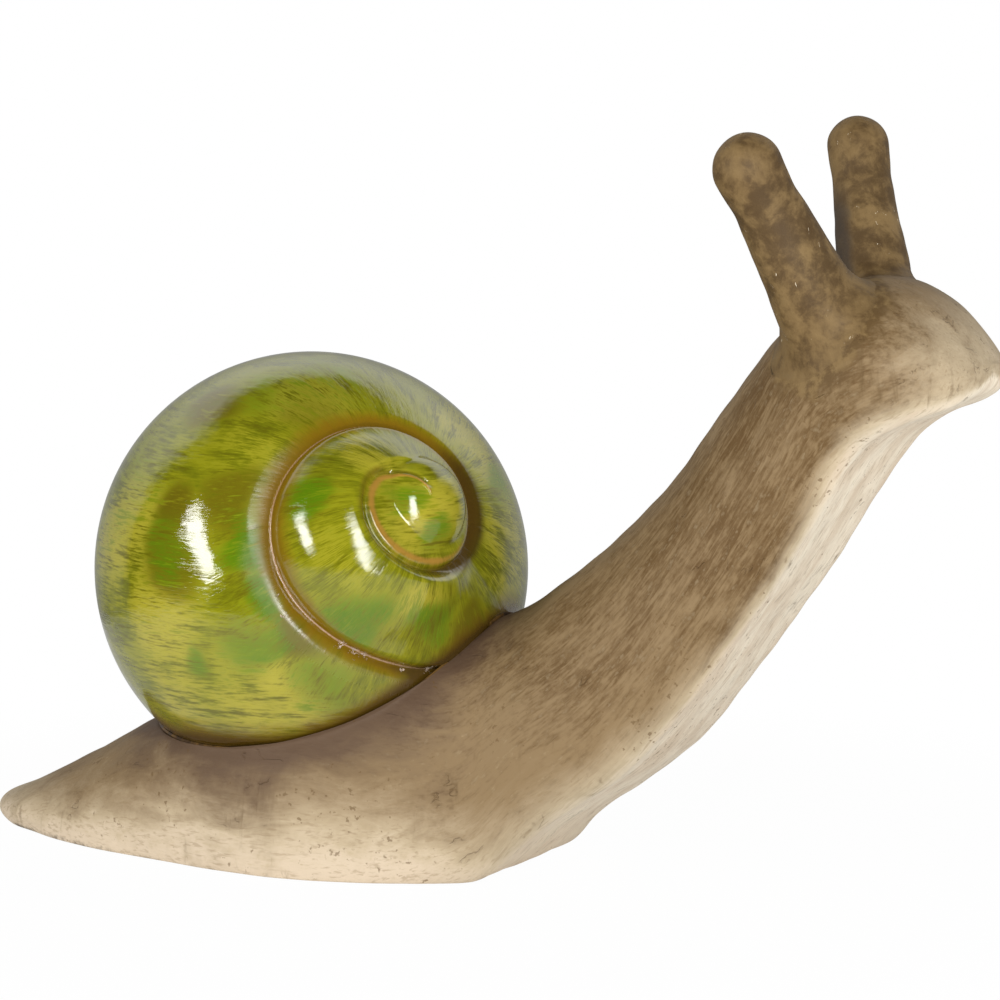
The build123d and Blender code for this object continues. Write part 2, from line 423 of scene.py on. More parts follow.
# Departure of the suture from an even spiral in degrees, at even steps of a turn.
NUDGE_START = -0.2
NUDGE_STEP = 0.1
SUTURE_NUDGES = (
    -2.5, -2.5, -2.5, -1.6, -0.1, -0.8, -3.0, -3.4, -4.0, -4.5,
    -4.6, -3.6, -2.0, -0.6, 0.0, 0.2, -1.0, -6.4, -7.4, -7.4,
)

# Heading, rise and reach in degrees of the spots where the glaze has crackled to white.
CRACKLE_SPOTS = (
    (-53.3, -12.0, 2.0),
    (-49.3, -14.2, 2.0),
    (-46.3, -15.6, 1.6),
    (-25.8, -20.9, 2.4),
    (-34.7, -20.3, 1.0),
    (-69.8, 1.2, 1.2),
    (-68.3, -3.5, 1.0),
)


@dataclass(frozen=True)
class Grain:
    """One noise of a finish: how fine it is, how it breaks up and how it is drawn out.

    Scale counts clouds to the metre, roughness is the strength of each octave against
    the last, and pull is how far the clouds are pulled about. Stretch is a scale for each
    direction, so that the clouds are drawn out along the smallest.
    """

    scale: float
    octaves: float = 3.0
    roughness: float = 0.5
    pull: float = 0.0
    stretch: tuple[float, float, float] | None = None


class Tone:
    """A value socket that takes part in arithmetic: each operation adds a Math node."""

    def __init__(self, bench: "Bench", socket: bpy.types.NodeSocket) -> None:
        """Keeps the bench that owns the node and the socket that carries the value."""
        self.bench = bench
        self.socket = socket

    def _math(self, operation: str, *values: Any) -> "Tone":
        """Adds a Math node of an operation and returns its result."""
        sockets = {place: value for place, value in enumerate(values)}
        node = self.bench.node("ShaderNodeMath", {"operation": operation}, sockets)
        return Tone(self.bench, node.outputs[0])

    def __add__(self, other: Any) -> "Tone":
        """Sum."""
        return self._math("ADD", self, other)

    __radd__ = __add__

    def __sub__(self, other: Any) -> "Tone":
        """Difference."""
        return self._math("SUBTRACT", self, other)

    def __rsub__(self, other: Any) -> "Tone":
        """Difference from a number."""
        return self._math("SUBTRACT", other, self)

    def __mul__(self, other: Any) -> "Tone":
        """Product."""
        return self._math("MULTIPLY", self, other)


    def __pow__(self, other: Any) -> "Tone":
        """Power."""
        return self._math("POWER", self, other)

    def __abs__(self) -> "Tone":
        """Size without sign."""
        return self._math("ABSOLUTE", self)

    def at_most(self, other: Any) -> "Tone":
        """Smaller of two values."""
        return self._math("MINIMUM", self, other)

    def at_least(self, other: Any) -> "Tone":
        """Larger of two values."""
        return self._math("MAXIMUM", self, other)

    def step(self, low: float, high: float) -> "Tone":
        """Rises smoothly from 0 at low to 1 at high, or falls where low is the larger."""
        node = self.bench.node(
            "ShaderNodeMapRange",
            {"interpolation_type": "SMOOTHSTEP"},
            {"Value": self, "From Min": low, "From Max": high, "To Min": 0.0, "To Max": 1.0},
        )
        return Tone(self.bench, node.outputs[0])

    def rise(self, ramp: Ramp) -> "Tone":
        """From 0 at a ramp's start to its amount at its end."""
        return self.step(ramp.start, ramp.end) * ramp.amount


class Bench:
    """The node tree of one material, and the few ways of adding to it."""

    def __init__(self, name: str) -> None:
        """Starts a material with a Principled shader.

        Args:
            name: Name of the material.
        """
        self.material = bpy.data.materials.new(name)
        self.material.use_nodes = True
        self.tree = self.material.node_tree
        self.tree.nodes.clear()
        self.shader = self.node("ShaderNodeBsdfPrincipled")
        self.output = self.node("ShaderNodeOutputMaterial")
        self.tree.links.new(self.shader.outputs[0], self.output.inputs[0])
        self.place = self.node("ShaderNodeTexCoord").outputs["Object"]

    @classmethod
    def on_tree(cls, tree: bpy.types.NodeTree) -> "Bench":
        """Takes over a node tree that isn't a material's, and clears it."""
        bench = cls.__new__(cls)
        bench.tree = tree
        tree.nodes.clear()
        return bench

    def node(
        self,
        kind: str,
        settings: dict[str, Any] | None = None,
        sockets: dict[str | int, Any] | None = None,
    ) -> bpy.types.Node:
        """Adds a node.

        Args:
            kind: Blender's name for the node type.
            settings: Properties, set before the sockets.
            sockets: Values, tones or output sockets for the node's inputs.

        Returns:
            The node.
        """
        node = self.tree.nodes.new(kind)
        for setting, value in (settings or {}).items():
            setattr(node, setting, value)
        for socket, value in (sockets or {}).items():
            self.feed(node, socket, value)
        return node

    def feed(self, node: bpy.types.Node, socket: str | int, value: Any) -> None:
        """Links or sets one input of a node."""
        source = value.socket if isinstance(value, Tone) else value
        if isinstance(source, bpy.types.NodeSocket):
            self.tree.links.new(source, node.inputs[socket])
        else:
            node.inputs[socket].default_value = source

    def mark(self, name: str) -> Tone:
        """Value of an attribute of the surface."""
        node = self.node("ShaderNodeAttribute", {"attribute_name": name})
        return Tone(self, node.outputs["Fac"])

    def mark_vector(self, name: str) -> bpy.types.NodeSocket:
        """Vector of an attribute of the surface."""
        return self.node("ShaderNodeAttribute", {"attribute_name": name}).outputs["Vector"]

    def split(self, vector: bpy.types.NodeSocket) -> tuple[Tone, Tone, Tone]:
        """The three parts of a vector."""
        node = self.node("ShaderNodeSeparateXYZ", None, {0: vector})
        return tuple(Tone(self, part) for part in node.outputs)

    def rays(self, *kinds: str) -> list[Tone]:
        """For each kind of ray, 1 where the light path is of that kind."""
        path = self.node("ShaderNodeLightPath")
        return [Tone(self, path.outputs[f"Is {kind} Ray"]) for kind in kinds]

    def noise(self, vector: bpy.types.NodeSocket, grain: Grain) -> Tone:
        """Cloudy noise about 0.5.

        Args:
            vector: Where to read it.
            grain: What kind it is.

        Returns:
            The noise.
        """
        if grain.stretch:
            product = {0: vector, 1: grain.stretch}
            vector = self.node("ShaderNodeVectorMath", {"operation": "MULTIPLY"}, product).outputs[0]
        sockets = {
            "Vector": vector,
            "Scale": grain.scale,
            "Detail": grain.octaves,
            "Roughness": grain.roughness,
            "Distortion": grain.pull,
        }
        return Tone(self, self.node("ShaderNodeTexNoise", None, sockets).outputs[0])

    def blend(self, share: Any, low: Any, high: Any) -> bpy.types.NodeSocket:
        """Mixes two colours.

        Args:
            share: How much of the second colour, from 0 to 1.
            low: First colour, or a socket that gives it.
            high: Second colour, or a socket that gives it.

        Returns:
            The mixed colour.
        """
        low, high = ((*c, 1.0) if isinstance(c, tuple) else c for c in (low, high))
        settings = {"data_type": "RGBA", "clamp_factor": True}
        return self.node("ShaderNodeMix", settings, {0: share, 6: low, 7: high}).outputs[2]

    def bump(self, height: Tone, depth: float) -> None:
        """Gives the shader a relief.

        Args:
            height: Relief from 0 to 1.
            depth: How many metres a height of 1 stands up.
        """
        sockets = {"Height": height, "Distance": depth, "Strength": 1.0}
        node = self.node("ShaderNodeBump", None, sockets)
        self.feed(self.shader, "Normal", node.outputs[0])


def fray(*parts: tuple[Tone, float]) -> Tone:
    """Sum of noises about zero, each times its strength, that roughens the edge of a mark."""
    first, *rest = ((noise - 0.5) * strength for noise, strength in parts)
    return sum(rest, first)


@dataclass(frozen=True)
class Brushwork:
    """The noises that a finish uses more than once, from broad to fine."""

    cloud: Tone
    stroke: Tone
    hair: Tone
    speck: Tone


@dataclass(frozen=True)
class ShellGlaze:
    """High-gloss glaze brushed in greens and yellows, pooled amber along the sutures."""

    yellow: Colour = (0.285, 0.275, 0.008)
    olive: Colour = (0.120, 0.130, 0.003)
    green: Colour = (0.078, 0.165, 0.002)
    gold: Colour = (0.38, 0.33, 0.030)
    umber: Colour = (0.105, 0.078, 0.003)
    amber: Colour = (0.190, 0.100, 0.004)
    ridge: Colour = (0.36, 0.18, 0.032)
    brown: Colour = (0.050, 0.027, 0.004)
    line: Colour = (0.46, 0.29, 0.20)
    crackle: Colour = (0.62, 0.48, 0.38)
    clouds: Grain = Grain(46.0, 5.0, 0.6, 0.8)
    fan_strokes: Grain = Grain(1.0, 5.0, 0.6, 0.5, (11.0, 11.0, 3.4))
    level_strokes: Grain = Grain(1.0, 5.0, 0.66, 0.5, (30.0, 30.0, 280.0))
    fan_hairs: Grain = Grain(1.0, 3.0, 0.6, 0.4, (90.0, 90.0, 16.0))
    level_hairs: Grain = Grain(1.0, 3.0, 0.6, 0.0, (140.0, 140.0, 1300.0))
    chalk: Grain = Grain(620.0, 3.0, 0.7, 1.5)
    ripples: Grain = Grain(70.0, 2.0)
    roughness: float = 0.04
    refraction: float = 1.7
    relief_depth: float = 0.7 * MM

    def dress(self) -> bpy.types.Material:
        """Builds the glaze.

        Patches come as marks with noise in place to fray them. Brush strokes are drawn-out
        noise: level ones on most of the globe, and ones that fan out from the apex near it.

        Returns:
            The material.
        """
        bench = Bench("shell_glaze")
        work = self.brushwork(bench)
        colour = self.sutured(bench, work, self.patched(bench, work))
        chips = (bench.mark("chips") + fray((work.speck, 3.4))).step(0.95, 1.15)
        colour = bench.blend(chips, colour, self.crackle)
        bench.feed(bench.shader, "Base Color", colour)
        worn = bench.mark("worn") * (work.stroke * 0.3 + work.hair * 0.3)
        bench.feed(bench.shader, "Roughness", self.roughness + work.hair * 0.03 + worn)
        bench.feed(bench.shader, "IOR", self.refraction)
        ripple = bench.noise(bench.place, self.ripples)
        relief = ripple * 0.6 + work.stroke * 0.28 + work.hair * 0.05 + chips * 0.3
        bench.bump(relief, self.relief_depth)
        return bench.material

    def brushwork(self, bench: Bench) -> Brushwork:
        """Clouds, strokes, hairs and specks, where strokes and hairs turn with the fan mark."""
        growth = bench.mark_vector("growth")
        fan = bench.mark("fan")
        level = 1.0 - fan
        fanned = bench.noise(growth, self.fan_strokes) * fan
        fanned_hair = bench.noise(growth, self.fan_hairs) * fan
        return Brushwork(
            cloud=bench.noise(bench.place, self.clouds),
            stroke=fanned + bench.noise(bench.place, self.level_strokes) * level,
            hair=fanned_hair + bench.noise(bench.place, self.level_hairs) * level,
            speck=bench.noise(bench.place, self.chalk),
        )

    def patched(self, bench: Bench, work: Brushwork) -> bpy.types.NodeSocket:
        """Olive and yellow ground, patches of each tint, then dark and light streaks."""
        light = (work.cloud * 0.36 + work.stroke * 0.34 + work.hair * 0.30).step(0.38, 0.64)
        colour = bench.blend(light, self.olive, self.yellow)
        edge = fray((work.cloud, 1.3), (work.stroke, 1.9), (work.hair, 1.7))
        for tint, shade, most in (
            (Tint.GOLD, self.gold, 0.85),
            (Tint.UMBER, self.umber, 0.85),
            (Tint.GREEN, self.green, 0.95),
        ):
            share = (bench.mark(tint.value) + edge).step(0.10, 0.95) * most
            colour = bench.blend(share, colour, shade)
        streak = work.stroke * 0.50 + work.hair * 0.50
        colour = bench.blend(streak.step(0.49, 0.36) * 0.5, colour, self.umber)
        return bench.blend(streak.step(0.51, 0.64) * 0.4, colour, self.yellow)

    def sutured(
        self, bench: Bench, work: Brushwork, colour: bpy.types.NodeSocket
    ) -> bpy.types.NodeSocket:
        """Lays the amber pools, the ridge, the dark seams, painted shade in the valley and at the
        shell's foot, and the suture's pale line.
        """
        drift = fray((work.cloud, 3.0), (work.stroke, 2.2), (work.hair, 0.7))
        pool = bench.mark("pool")
        ragged = (pool + drift * 0.30) * pool.step(0.0, 0.35)
        colour = bench.blend(ragged.step(0.1, 1.0) * 0.92, colour, self.amber)
        edge = fray((work.cloud, 1.3), (work.stroke, 1.9), (work.hair, 1.7))
        ridge = (bench.mark("ridge") + edge * 0.5).step(0.20, 1.0)
        colour = bench.blend(ridge * 0.85, colour, self.ridge)
        # Dark brown of the seams, with painted shade in the valley by the apex and above the join
        # with the body.
        deep = bench.mark("deep") + bench.mark("base") + drift * 0.12
        colour = bench.blend(deep.step(0.2, 1.0) * 0.9, colour, self.brown)
        broken = (work.hair * 1.6 - 0.1).at_most(0.9).at_least(0.15)
        return bench.blend(bench.mark("thread").step(0.45, 0.95) * broken, colour, self.line)


@dataclass(frozen=True)
class ClayWash:
    """Brown wash brushed over cream clay, darkest on the neck and round the tentacles."""

    cream: Colour = (0.78, 0.70, 0.56)
    blush: Colour = (0.60, 0.49, 0.36)
    sand: Colour = (0.42, 0.33, 0.20)
    taupe: Colour = (0.225, 0.150, 0.072)
    umber: Colour = (0.112, 0.061, 0.019)
    shell_shade_plum: Colour = (0.090, 0.052, 0.032)
    bark: Colour = (0.110, 0.064, 0.022)
    ochre: Colour = (0.200, 0.128, 0.050)
    ground_dark: Colour = (0.045, 0.032, 0.022)
    clouds: Grain = Grain(32.0, 5.0, 0.62, 0.8)
    strokes: Grain = Grain(1.0, 5.0, 0.62, 0.7, (30.0, 110.0, 110.0))
    hairs: Grain = Grain(1.0, 4.0, 0.6, 0.4, (90.0, 560.0, 560.0))
    fibres: Grain = Grain(1.0, 2.0, 0.5, 0.4, (170.0, 1100.0, 1100.0))
    specks: Grain = Grain(460.0, 2.0, 0.6)
    drips: Grain = Grain(1.0, 4.0, 0.6, 0.5, (240.0, 240.0, 40.0))
    mottle: Grain = Grain(170.0, 5.0, 0.66, 0.25)
    cracks: Grain = Grain(1.0, 3.0, 0.55, 0.2, (50.0, 90.0, 90.0))
    roughness: float = 0.50
    sheen: float = 0.25
    relief_depth: float = 0.5 * MM

    def dress(self) -> bpy.types.Material:
        """Builds the wash, which follows how far along and round the body a point is.

        Returns:
            The material.
        """
        bench = Bench("body_wash")
        skin = bench.mark_vector("skin")
        work = Brushwork(
            cloud=bench.noise(bench.place, self.clouds),
            stroke=bench.noise(skin, self.strokes),
            hair=bench.noise(skin, self.hairs),
            speck=bench.noise(bench.place, self.specks),
        )
        colour = self.brushed(bench, work, bench.noise(skin, self.fibres))
        colour = self.stained(bench, work, colour)
        crack = abs(bench.noise(skin, self.cracks) - 0.5).step(0.008, 0.002)
        crack = crack * (work.cloud * 0.5 + work.stroke * 0.5).step(0.55, 0.62)
        colour = bench.blend(crack * 0.3, colour, self.umber)
        # Darker towards the ground, most at the tail.
        ground_darkening = bench.mark("ground_dark") + fray((work.speck, 0.8), (work.cloud, 1.4))
        colour = bench.blend(ground_darkening.step(0.35, 0.95) * 0.8, colour, self.ground_dark)
        bench.feed(bench.shader, "Base Color", colour)
        bench.feed(bench.shader, "Roughness", self.roughness + work.hair * 0.25)
        bench.feed(bench.shader, "Specular IOR Level", self.sheen)
        relief = work.stroke * 0.3 + work.hair * 0.2 + work.speck * 0.14 + work.cloud * 0.6
        bench.bump(relief - crack * 0.5, self.relief_depth)
        return bench.material

    def brushed(self, bench: Bench, work: Brushwork, fibre: Tone) -> bpy.types.NodeSocket:
        """Pale clay, the wash over it, and the threads that the brush left and lifted."""
        wash = bench.mark("wash") + fray((work.stroke, 0.6), (work.cloud, 0.5), (work.hair, 0.2))
        depth = bench.mark("depth") - bench.mark("tan") * 0.12
        depth = depth + fray((work.cloud, 1.3), (work.stroke, 1.5), (work.hair, 1.8))
        depth = depth + fray((fibre, 1.5), (work.speck, 1.0))
        brown = bench.blend(depth.step(-0.1, 1.2), self.taupe, self.umber)
        light = (work.stroke * 0.6 + work.cloud * 0.4).step(0.36, 0.66)
        pale = bench.blend(bench.mark("tan"), bench.blend(light, self.blush, self.cream), self.blush)
        rim = bench.blend(wash.step(0.0, 0.5) * 0.75, pale, self.sand)
        colour = bench.blend(wash.step(0.22, 0.95), rim, brown)
        threads = (work.hair * 0.5 + fibre * 0.5).step(0.49, 0.36)
        colour = bench.blend(threads * 0.4, colour, self.taupe)
        lifted = (work.hair * 0.6 + work.speck * 0.4).step(0.54, 0.68)
        return bench.blend(lifted * 0.3, colour, self.sand)

    def stained(
        self, bench: Bench, work: Brushwork, colour: bpy.types.NodeSocket
    ) -> bpy.types.NodeSocket:
        """Lays the drips on the brow, the tentacles' wash, painted shade beside the shell and dark
        specks.
        """
        drips = bench.noise(bench.place, self.drips)
        brow = bench.mark("brow") + fray((work.cloud, 1.6), (drips, 2.6))
        colour = bench.blend(brow.step(0.30, 1.0) * 0.7, colour, self.bark)
        mottle = bench.noise(bench.place, self.mottle)
        mantle = bench.mark("mantle") + fray((work.cloud, 1.2), (mottle, 0.5))
        bark = bench.blend(mottle.step(0.42, 0.60), self.bark, self.ochre)
        colour = bench.blend(mantle.step(0.3, 0.75) * 0.95, colour, bark)
        # Painted shade beside and under the shell, in plum.
        shade = bench.mark("shade") + fray((work.stroke, 0.7), (work.cloud, 0.8))
        colour = bench.blend(shade.step(0.1, 0.9) * 0.85, colour, self.shell_shade_plum)
        dark = (work.speck * 0.6 + work.cloud * 0.4).step(0.39, 0.34)
        return bench.blend(dark * 0.6, colour, self.umber)


@dataclass(frozen=True)
class TentacleWash:
    """Thick brown wash with ochre mottling, dark blots, pale chips and painted shade in slate."""

    brown: Colour = (0.110, 0.064, 0.022)
    ochre: Colour = (0.200, 0.128, 0.050)
    blot: Colour = (0.060, 0.034, 0.012)
    shade_slate: Colour = (0.050, 0.036, 0.024)
    chip: Colour = (0.72, 0.62, 0.46)
    clouds: Grain = Grain(60.0, 4.0, 0.6, 0.3)
    mottle: Grain = Grain(170.0, 5.0, 0.66, 0.25)
    scratches: Grain = Grain(330.0, 3.0, 0.6, 1.2, (1.6, 1.6, 0.45))
    roughness: float = 0.45
    sheen: float = 0.25
    relief_depth: float = 0.6 * MM

    def dress(self, name: str) -> bpy.types.Material:
        """Builds the wash.

        Args:
            name: Name of the material.

        Returns:
            The material.
        """
        bench = Bench(name)
        broad = bench.noise(bench.place, self.clouds)
        mottle = bench.noise(bench.place, self.mottle)
        scratch = bench.noise(bench.place, self.scratches)
        light = (mottle * 0.55 + broad * 0.45).step(0.36, 0.66)
        colour = bench.blend(light, self.brown, self.ochre)
        # Blots come more often over the middle of the stem.
        blots = mottle * 0.6 + broad * 0.4 - bench.mark("middle_dark") * 0.08
        colour = bench.blend(blots.step(0.52, 0.34) * 0.6, colour, self.blot)
        # Painted shade in slate, low on the side away from the light.
        painted_shade = bench.mark("painted_shade") + fray((mottle, 1.2))
        colour = bench.blend(painted_shade.step(0.1, 0.8) * 0.85, colour, self.shade_slate)
        chips = (scratch * 0.75 + broad * 0.25).step(0.665, 0.69)
        colour = bench.blend(chips * 0.85, colour, self.chip)
        bench.feed(bench.shader, "Base Color", colour)
        bench.feed(bench.shader, "Roughness", self.roughness + mottle * 0.3)
        bench.feed(bench.shader, "Specular IOR Level", self.sheen)
        bench.bump(mottle * 0.4 + scratch * 0.2 + broad * 0.5, self.relief_depth)
        return bench.material


@dataclass(frozen=True)
class BeddingSlip:
    """Dark mottled slip that beds the shell in its saddle."""

    dark: Colour = (0.040, 0.022, 0.010)
    warm: Colour = (0.16, 0.085, 0.022)
    mottle: Grain = Grain(130.0, 4.0, 0.6, 0.6)
    roughness: float = 0.3
    sheen: float = 0.2
    relief_depth: float = 0.4 * MM

    def dress(self) -> bpy.types.Material:
        """Builds the slip.

        Returns:
            The material.
        """
        bench = Bench("bedding_slip")
        mottle = bench.noise(bench.place, self.mottle)
        colour = bench.blend(mottle.step(0.4, 0.64), self.dark, self.warm)
        bench.feed(bench.shader, "Base Color", colour)
        bench.feed(bench.shader, "Roughness", self.roughness + mottle * 0.25)
        bench.feed(bench.shader, "Specular IOR Level", self.sheen)
        bench.bump(mottle, self.relief_depth)
        return bench.material


@dataclass(frozen=True)
class Ball:
    """Ball that stands out of the globe, by its heading and rise off the globe's centre."""

    heading: float
    rise: float
    radius: float
    height: float


@dataclass(frozen=True)
class Lap:
    """One lap of the suture, as it lies from each point of the shell.

    Turn counts along the spiral, inside is how far in from the suture the point is, whorl
    is the whorl's width there, and fade dies out at the suture's ends.
    """

    turn: np.ndarray
    inside: np.ndarray
    whorl: np.ndarray
    fade: np.ndarray


@dataclass(frozen=True)
class SutureGlaze:
    """How the glaze lies along the suture. Its ramps run over turns of the spiral.

    Amber's widths and its ramps' amounts are shares of a whorl.
    """

    thread_reach: float = 0.5 * MM
    amber_thins: Ramp = Ramp(0.80, 1.10, 0.60)
    inner_amber: float = 0.10
    inner_amber_widens: Ramp = Ramp(0.12, 0.26, 0.12)
    outer_amber: float = 0.16
    outer_amber_widens: Ramp = Ramp(0.28, 0.45, 0.14)
    # Dark pooled glaze with painted shade in the valley beside the apex: where along the turns it
    # comes and goes, how broad it is and how far outside the suture.
    dark_glaze_and_shade_comes: Ramp = Ramp(0.55, 0.75)
    dark_glaze_and_shade_goes: Ramp = Ramp(0.95, 1.10, 0.45)
    dark_glaze_and_shade_narrows: Ramp = Ramp(0.86, 1.02)
    dark_glaze_and_shade_least: float = 1.4 * MM
    dark_glaze_and_shade_more: float = 4.0 * MM
    dark_glaze_and_shade_aside: float = 0.45
    seam_strength: float = 0.42
    seam_aside: float = 1.1 * MM
    seam_reach: float = 1.3 * MM
    scuff_comes: Ramp = Ramp(0.19, 0.26)
    scuff_goes: Ramp = Ramp(0.36, 0.44)
    scuff_aside: float = 4.8 * MM
    dull_goes: Ramp = Ramp(0.24, 0.30)
    dull_aside: float = 7.5 * MM
    wear_reach: float = 4.0 * MM

    def marks(self, lap: Lap, cord_share: np.ndarray) -> dict[str, np.ndarray]:
        """Marks off one lap of the suture.

        Args:
            lap: The lap.
            cord_share: How far the raised cord has taken the pale thread's place.

        Returns:
            The pale thread, the amber pool, the dark seam with dark glaze and painted shade in the
            valley, and the wear, by name.
        """
        inner = self.inner_amber + self.inner_amber_widens.rise(lap.turn)
        outer = self.outer_amber + self.outer_amber_widens.rise(lap.turn)
        amber = np.where(lap.inside > 0.0, inner, outer) * lap.whorl
        # Dark pooled glaze and painted shade in the valley beside the apex.
        dark_glaze_and_shade = self.dark_glaze_and_shade_comes.rise(lap.turn) * self.dark_glaze_and_shade_goes.fall(lap.turn) * lap.fade
        broad = self.dark_glaze_and_shade_least + self.dark_glaze_and_shade_more * dark_glaze_and_shade * self.dark_glaze_and_shade_narrows.fall(lap.turn)
        dark = dark_glaze_and_shade * bell(lap.inside + self.dark_glaze_and_shade_aside * broad, broad)
        seam = self.seam_strength * lap.fade * bell(lap.inside + self.seam_aside, self.seam_reach)
        scuffed = self.scuff_comes.rise(lap.turn) * self.scuff_goes.fall(lap.turn)
        dulled = lap.fade * self.dull_goes.fall(lap.turn)
        scuff = scuffed * bell(lap.inside + self.scuff_aside, self.wear_reach)
        dull = dulled * bell(lap.inside + self.dull_aside, self.wear_reach)
        return {
            "thread": lap.fade * (1.0 - cord_share) * bell(lap.inside, self.thread_reach),
            "pool": lap.fade * self.amber_thins.fall(lap.turn) * bell(lap.inside, amber),
            "deep": np.maximum(dark, seam),
            "worn": scuff + dull,
        }


@dataclass
class SpiralShell:
    """Globe shell whose right side swells into whorls that wind in to a round apex.

    Angles are in degrees. Flanks, crown, crest and groove depth are shares of a whorl.
    """

    centre: np.ndarray
    radius: float = 70.8 * MM
    seat_share: float = -0.168
    dome: Ball = Ball(-41.8, 16.8, 39.5 * MM, 8.6 * MM)
    apex: Ball = Ball(-29.7, 23.4, 17.0 * MM, 13.2 * MM)
    dome_softness: float = 1.5 * MM
    apex_softness: float = 0.5 * MM
    pole_heading: float = -31.8
    pole_rise: float = 23.1
    start_angle: float = 49.1
    least_angle: float = 1.0
    start_bearing: float = -77.0
    growth: float = 2.61
    oval: float = 0.05
    oval_turn: float = 0.089
    laps: tuple[int, ...] = (-1, 0, 1, 2)
    start_turn: float = -0.10
    end_turn: float = 1.66
    runout: float = 0.16
    outer_flank: float = 0.29
    inner_flank: float = 0.15
    flank_softness: float = 0.1
    groove_depth: float = 0.085
    least_depth: float = 0.5 * MM
    least_whorl: float = 7.0 * MM
    outer_round: float = 0.2
    inner_round: float = 0.85
    steep_goes: Ramp = Ramp(0.22, 0.33)
    steep_flank: float = 0.08
    steep_round: float = 0.75
    crown: float = 0.19
    crown_goes: Ramp = Ramp(0.35, 0.95)
    crown_ends: Ramp = Ramp(0.98, 1.12)
    crest: float = 0.9
    crest_drop: float = 0.85
    cord_comes: Ramp = Ramp(0.80, 1.05)
    cord_height: float = 0.55 * MM
    cord_aside: float = 2.4 * MM
    cord_reach: float = 1.3 * MM
    glaze: SutureGlaze = SutureGlaze()
    patch_wave: float = 0.40
    patch_pull: float = 0.07
    patch_seeds: tuple[float, ...] = (0.3, 1.9, 4.4)
    patch_edge: Ramp = Ramp(1.6, 0.4)
    pool_above_join: float = 1.0 * MM
    pool_reach: float = 6.0 * MM
    # Dark line where the shell meets the body, with painted shade dying away above it.
    join_line_and_shade_strength: float = 1.15
    join_line_and_shade_reach: float = 6.5 * MM
    fan_edge: Ramp = Ramp(64.0, 50.0)
    fan_eye: Ramp = Ramp(9.0, 17.0)
    rings: int = 232
    around: int = 424
    ring_samples: int = 4001
    rings_widen: Ramp = Ramp(math.radians(54.0), math.radians(80.0), 0.84)

    @classmethod
    def seated(cls, body_length: float, base: float) -> "SpiralShell":
        """The shell in its place: a share of the body's length back, on its base height."""
        return cls(np.array([cls.seat_share * body_length, 0.0, base + cls.radius]))

    @staticmethod
    def direction(heading: float, rise: float) -> np.ndarray:
        """Unit vector from a heading off +X and a rise, both in degrees."""
        heading, rise = math.radians(heading), math.radians(rise)
        level = math.cos(rise)
        return np.array([level * math.cos(heading), level * math.sin(heading), math.sin(rise)])

    def degrees_off(self, unit: np.ndarray, heading: float, rise: float) -> np.ndarray:
        """Angle in degrees between unit vectors and a heading and rise."""
        near = np.clip(unit @ self.direction(heading, rise), -1.0, 1.0)
        return np.degrees(np.arccos(near))

    def axes(self) -> tuple[np.ndarray, np.ndarray, np.ndarray]:
        """Two cross directions, the first one level, and the spiral's pole."""
        pole = self.direction(self.pole_heading, self.pole_rise)
        level = np.cross([0.0, 0.0, 1.0], pole)
        level /= np.linalg.norm(level)
        return level, np.cross(pole, level), pole

    def polar(self, unit: np.ndarray) -> tuple[np.ndarray, np.ndarray]:
        """Angle from the pole and bearing round it, in degrees, for unit vectors."""
        level, upper, pole = self.axes()
        angle = np.degrees(np.arccos(np.clip(unit @ pole, -1.0, 1.0)))
        bearing = np.degrees(np.arctan2(unit @ upper, unit @ level))
        return angle, bearing

    def ball_reach(self, unit: np.ndarray, ball: Ball) -> np.ndarray:
        """Distance to the far side of a ball set off the centre: the ray's larger root.

        Args:
            unit: Unit vectors, one to a row.
            ball: The ball.

        Returns:
            One distance for each vector.
        """
        offset = self.radius + ball.height - ball.radius
        ahead = offset * (unit @ self.direction(ball.heading, ball.rise))
        return ahead + np.sqrt(np.maximum(ball.radius**2 - offset**2 + ahead**2, 0.0))

    def skin_reach(self, unit: np.ndarray, crown: Any = 0.0) -> np.ndarray:
        """Distance to the skin before the suture is pressed in: the balls, softly joined."""
        floor = np.full(len(unit), self.radius)
        domed = soft_above(self.ball_reach(unit, self.dome), floor, self.dome_softness)
        return soft_above(self.ball_reach(unit, self.apex), domed + crown, self.apex_softness)

    def suture_angle(self, turn: np.ndarray) -> np.ndarray:
        """Angle of the suture from the pole at each turn.

        It is start_angle / growth^turn, a little nearer or farther by a cosine of twice the
        turn, and nudged by as much as the real one departs from that.
        """
        sway = self.oval * np.cos(4 * math.pi * (turn - self.oval_turn))
        even = self.start_angle * self.growth ** (-turn) * (1.0 - sway)
        places = np.clip((turn - NUDGE_START) / NUDGE_STEP, 0.0, len(SUTURE_NUDGES) - 1.0)
        nudge = spline_through(np.array(SUTURE_NUDGES)[:, None], places)[:, 0]
        return np.maximum(even + nudge, self.least_angle)

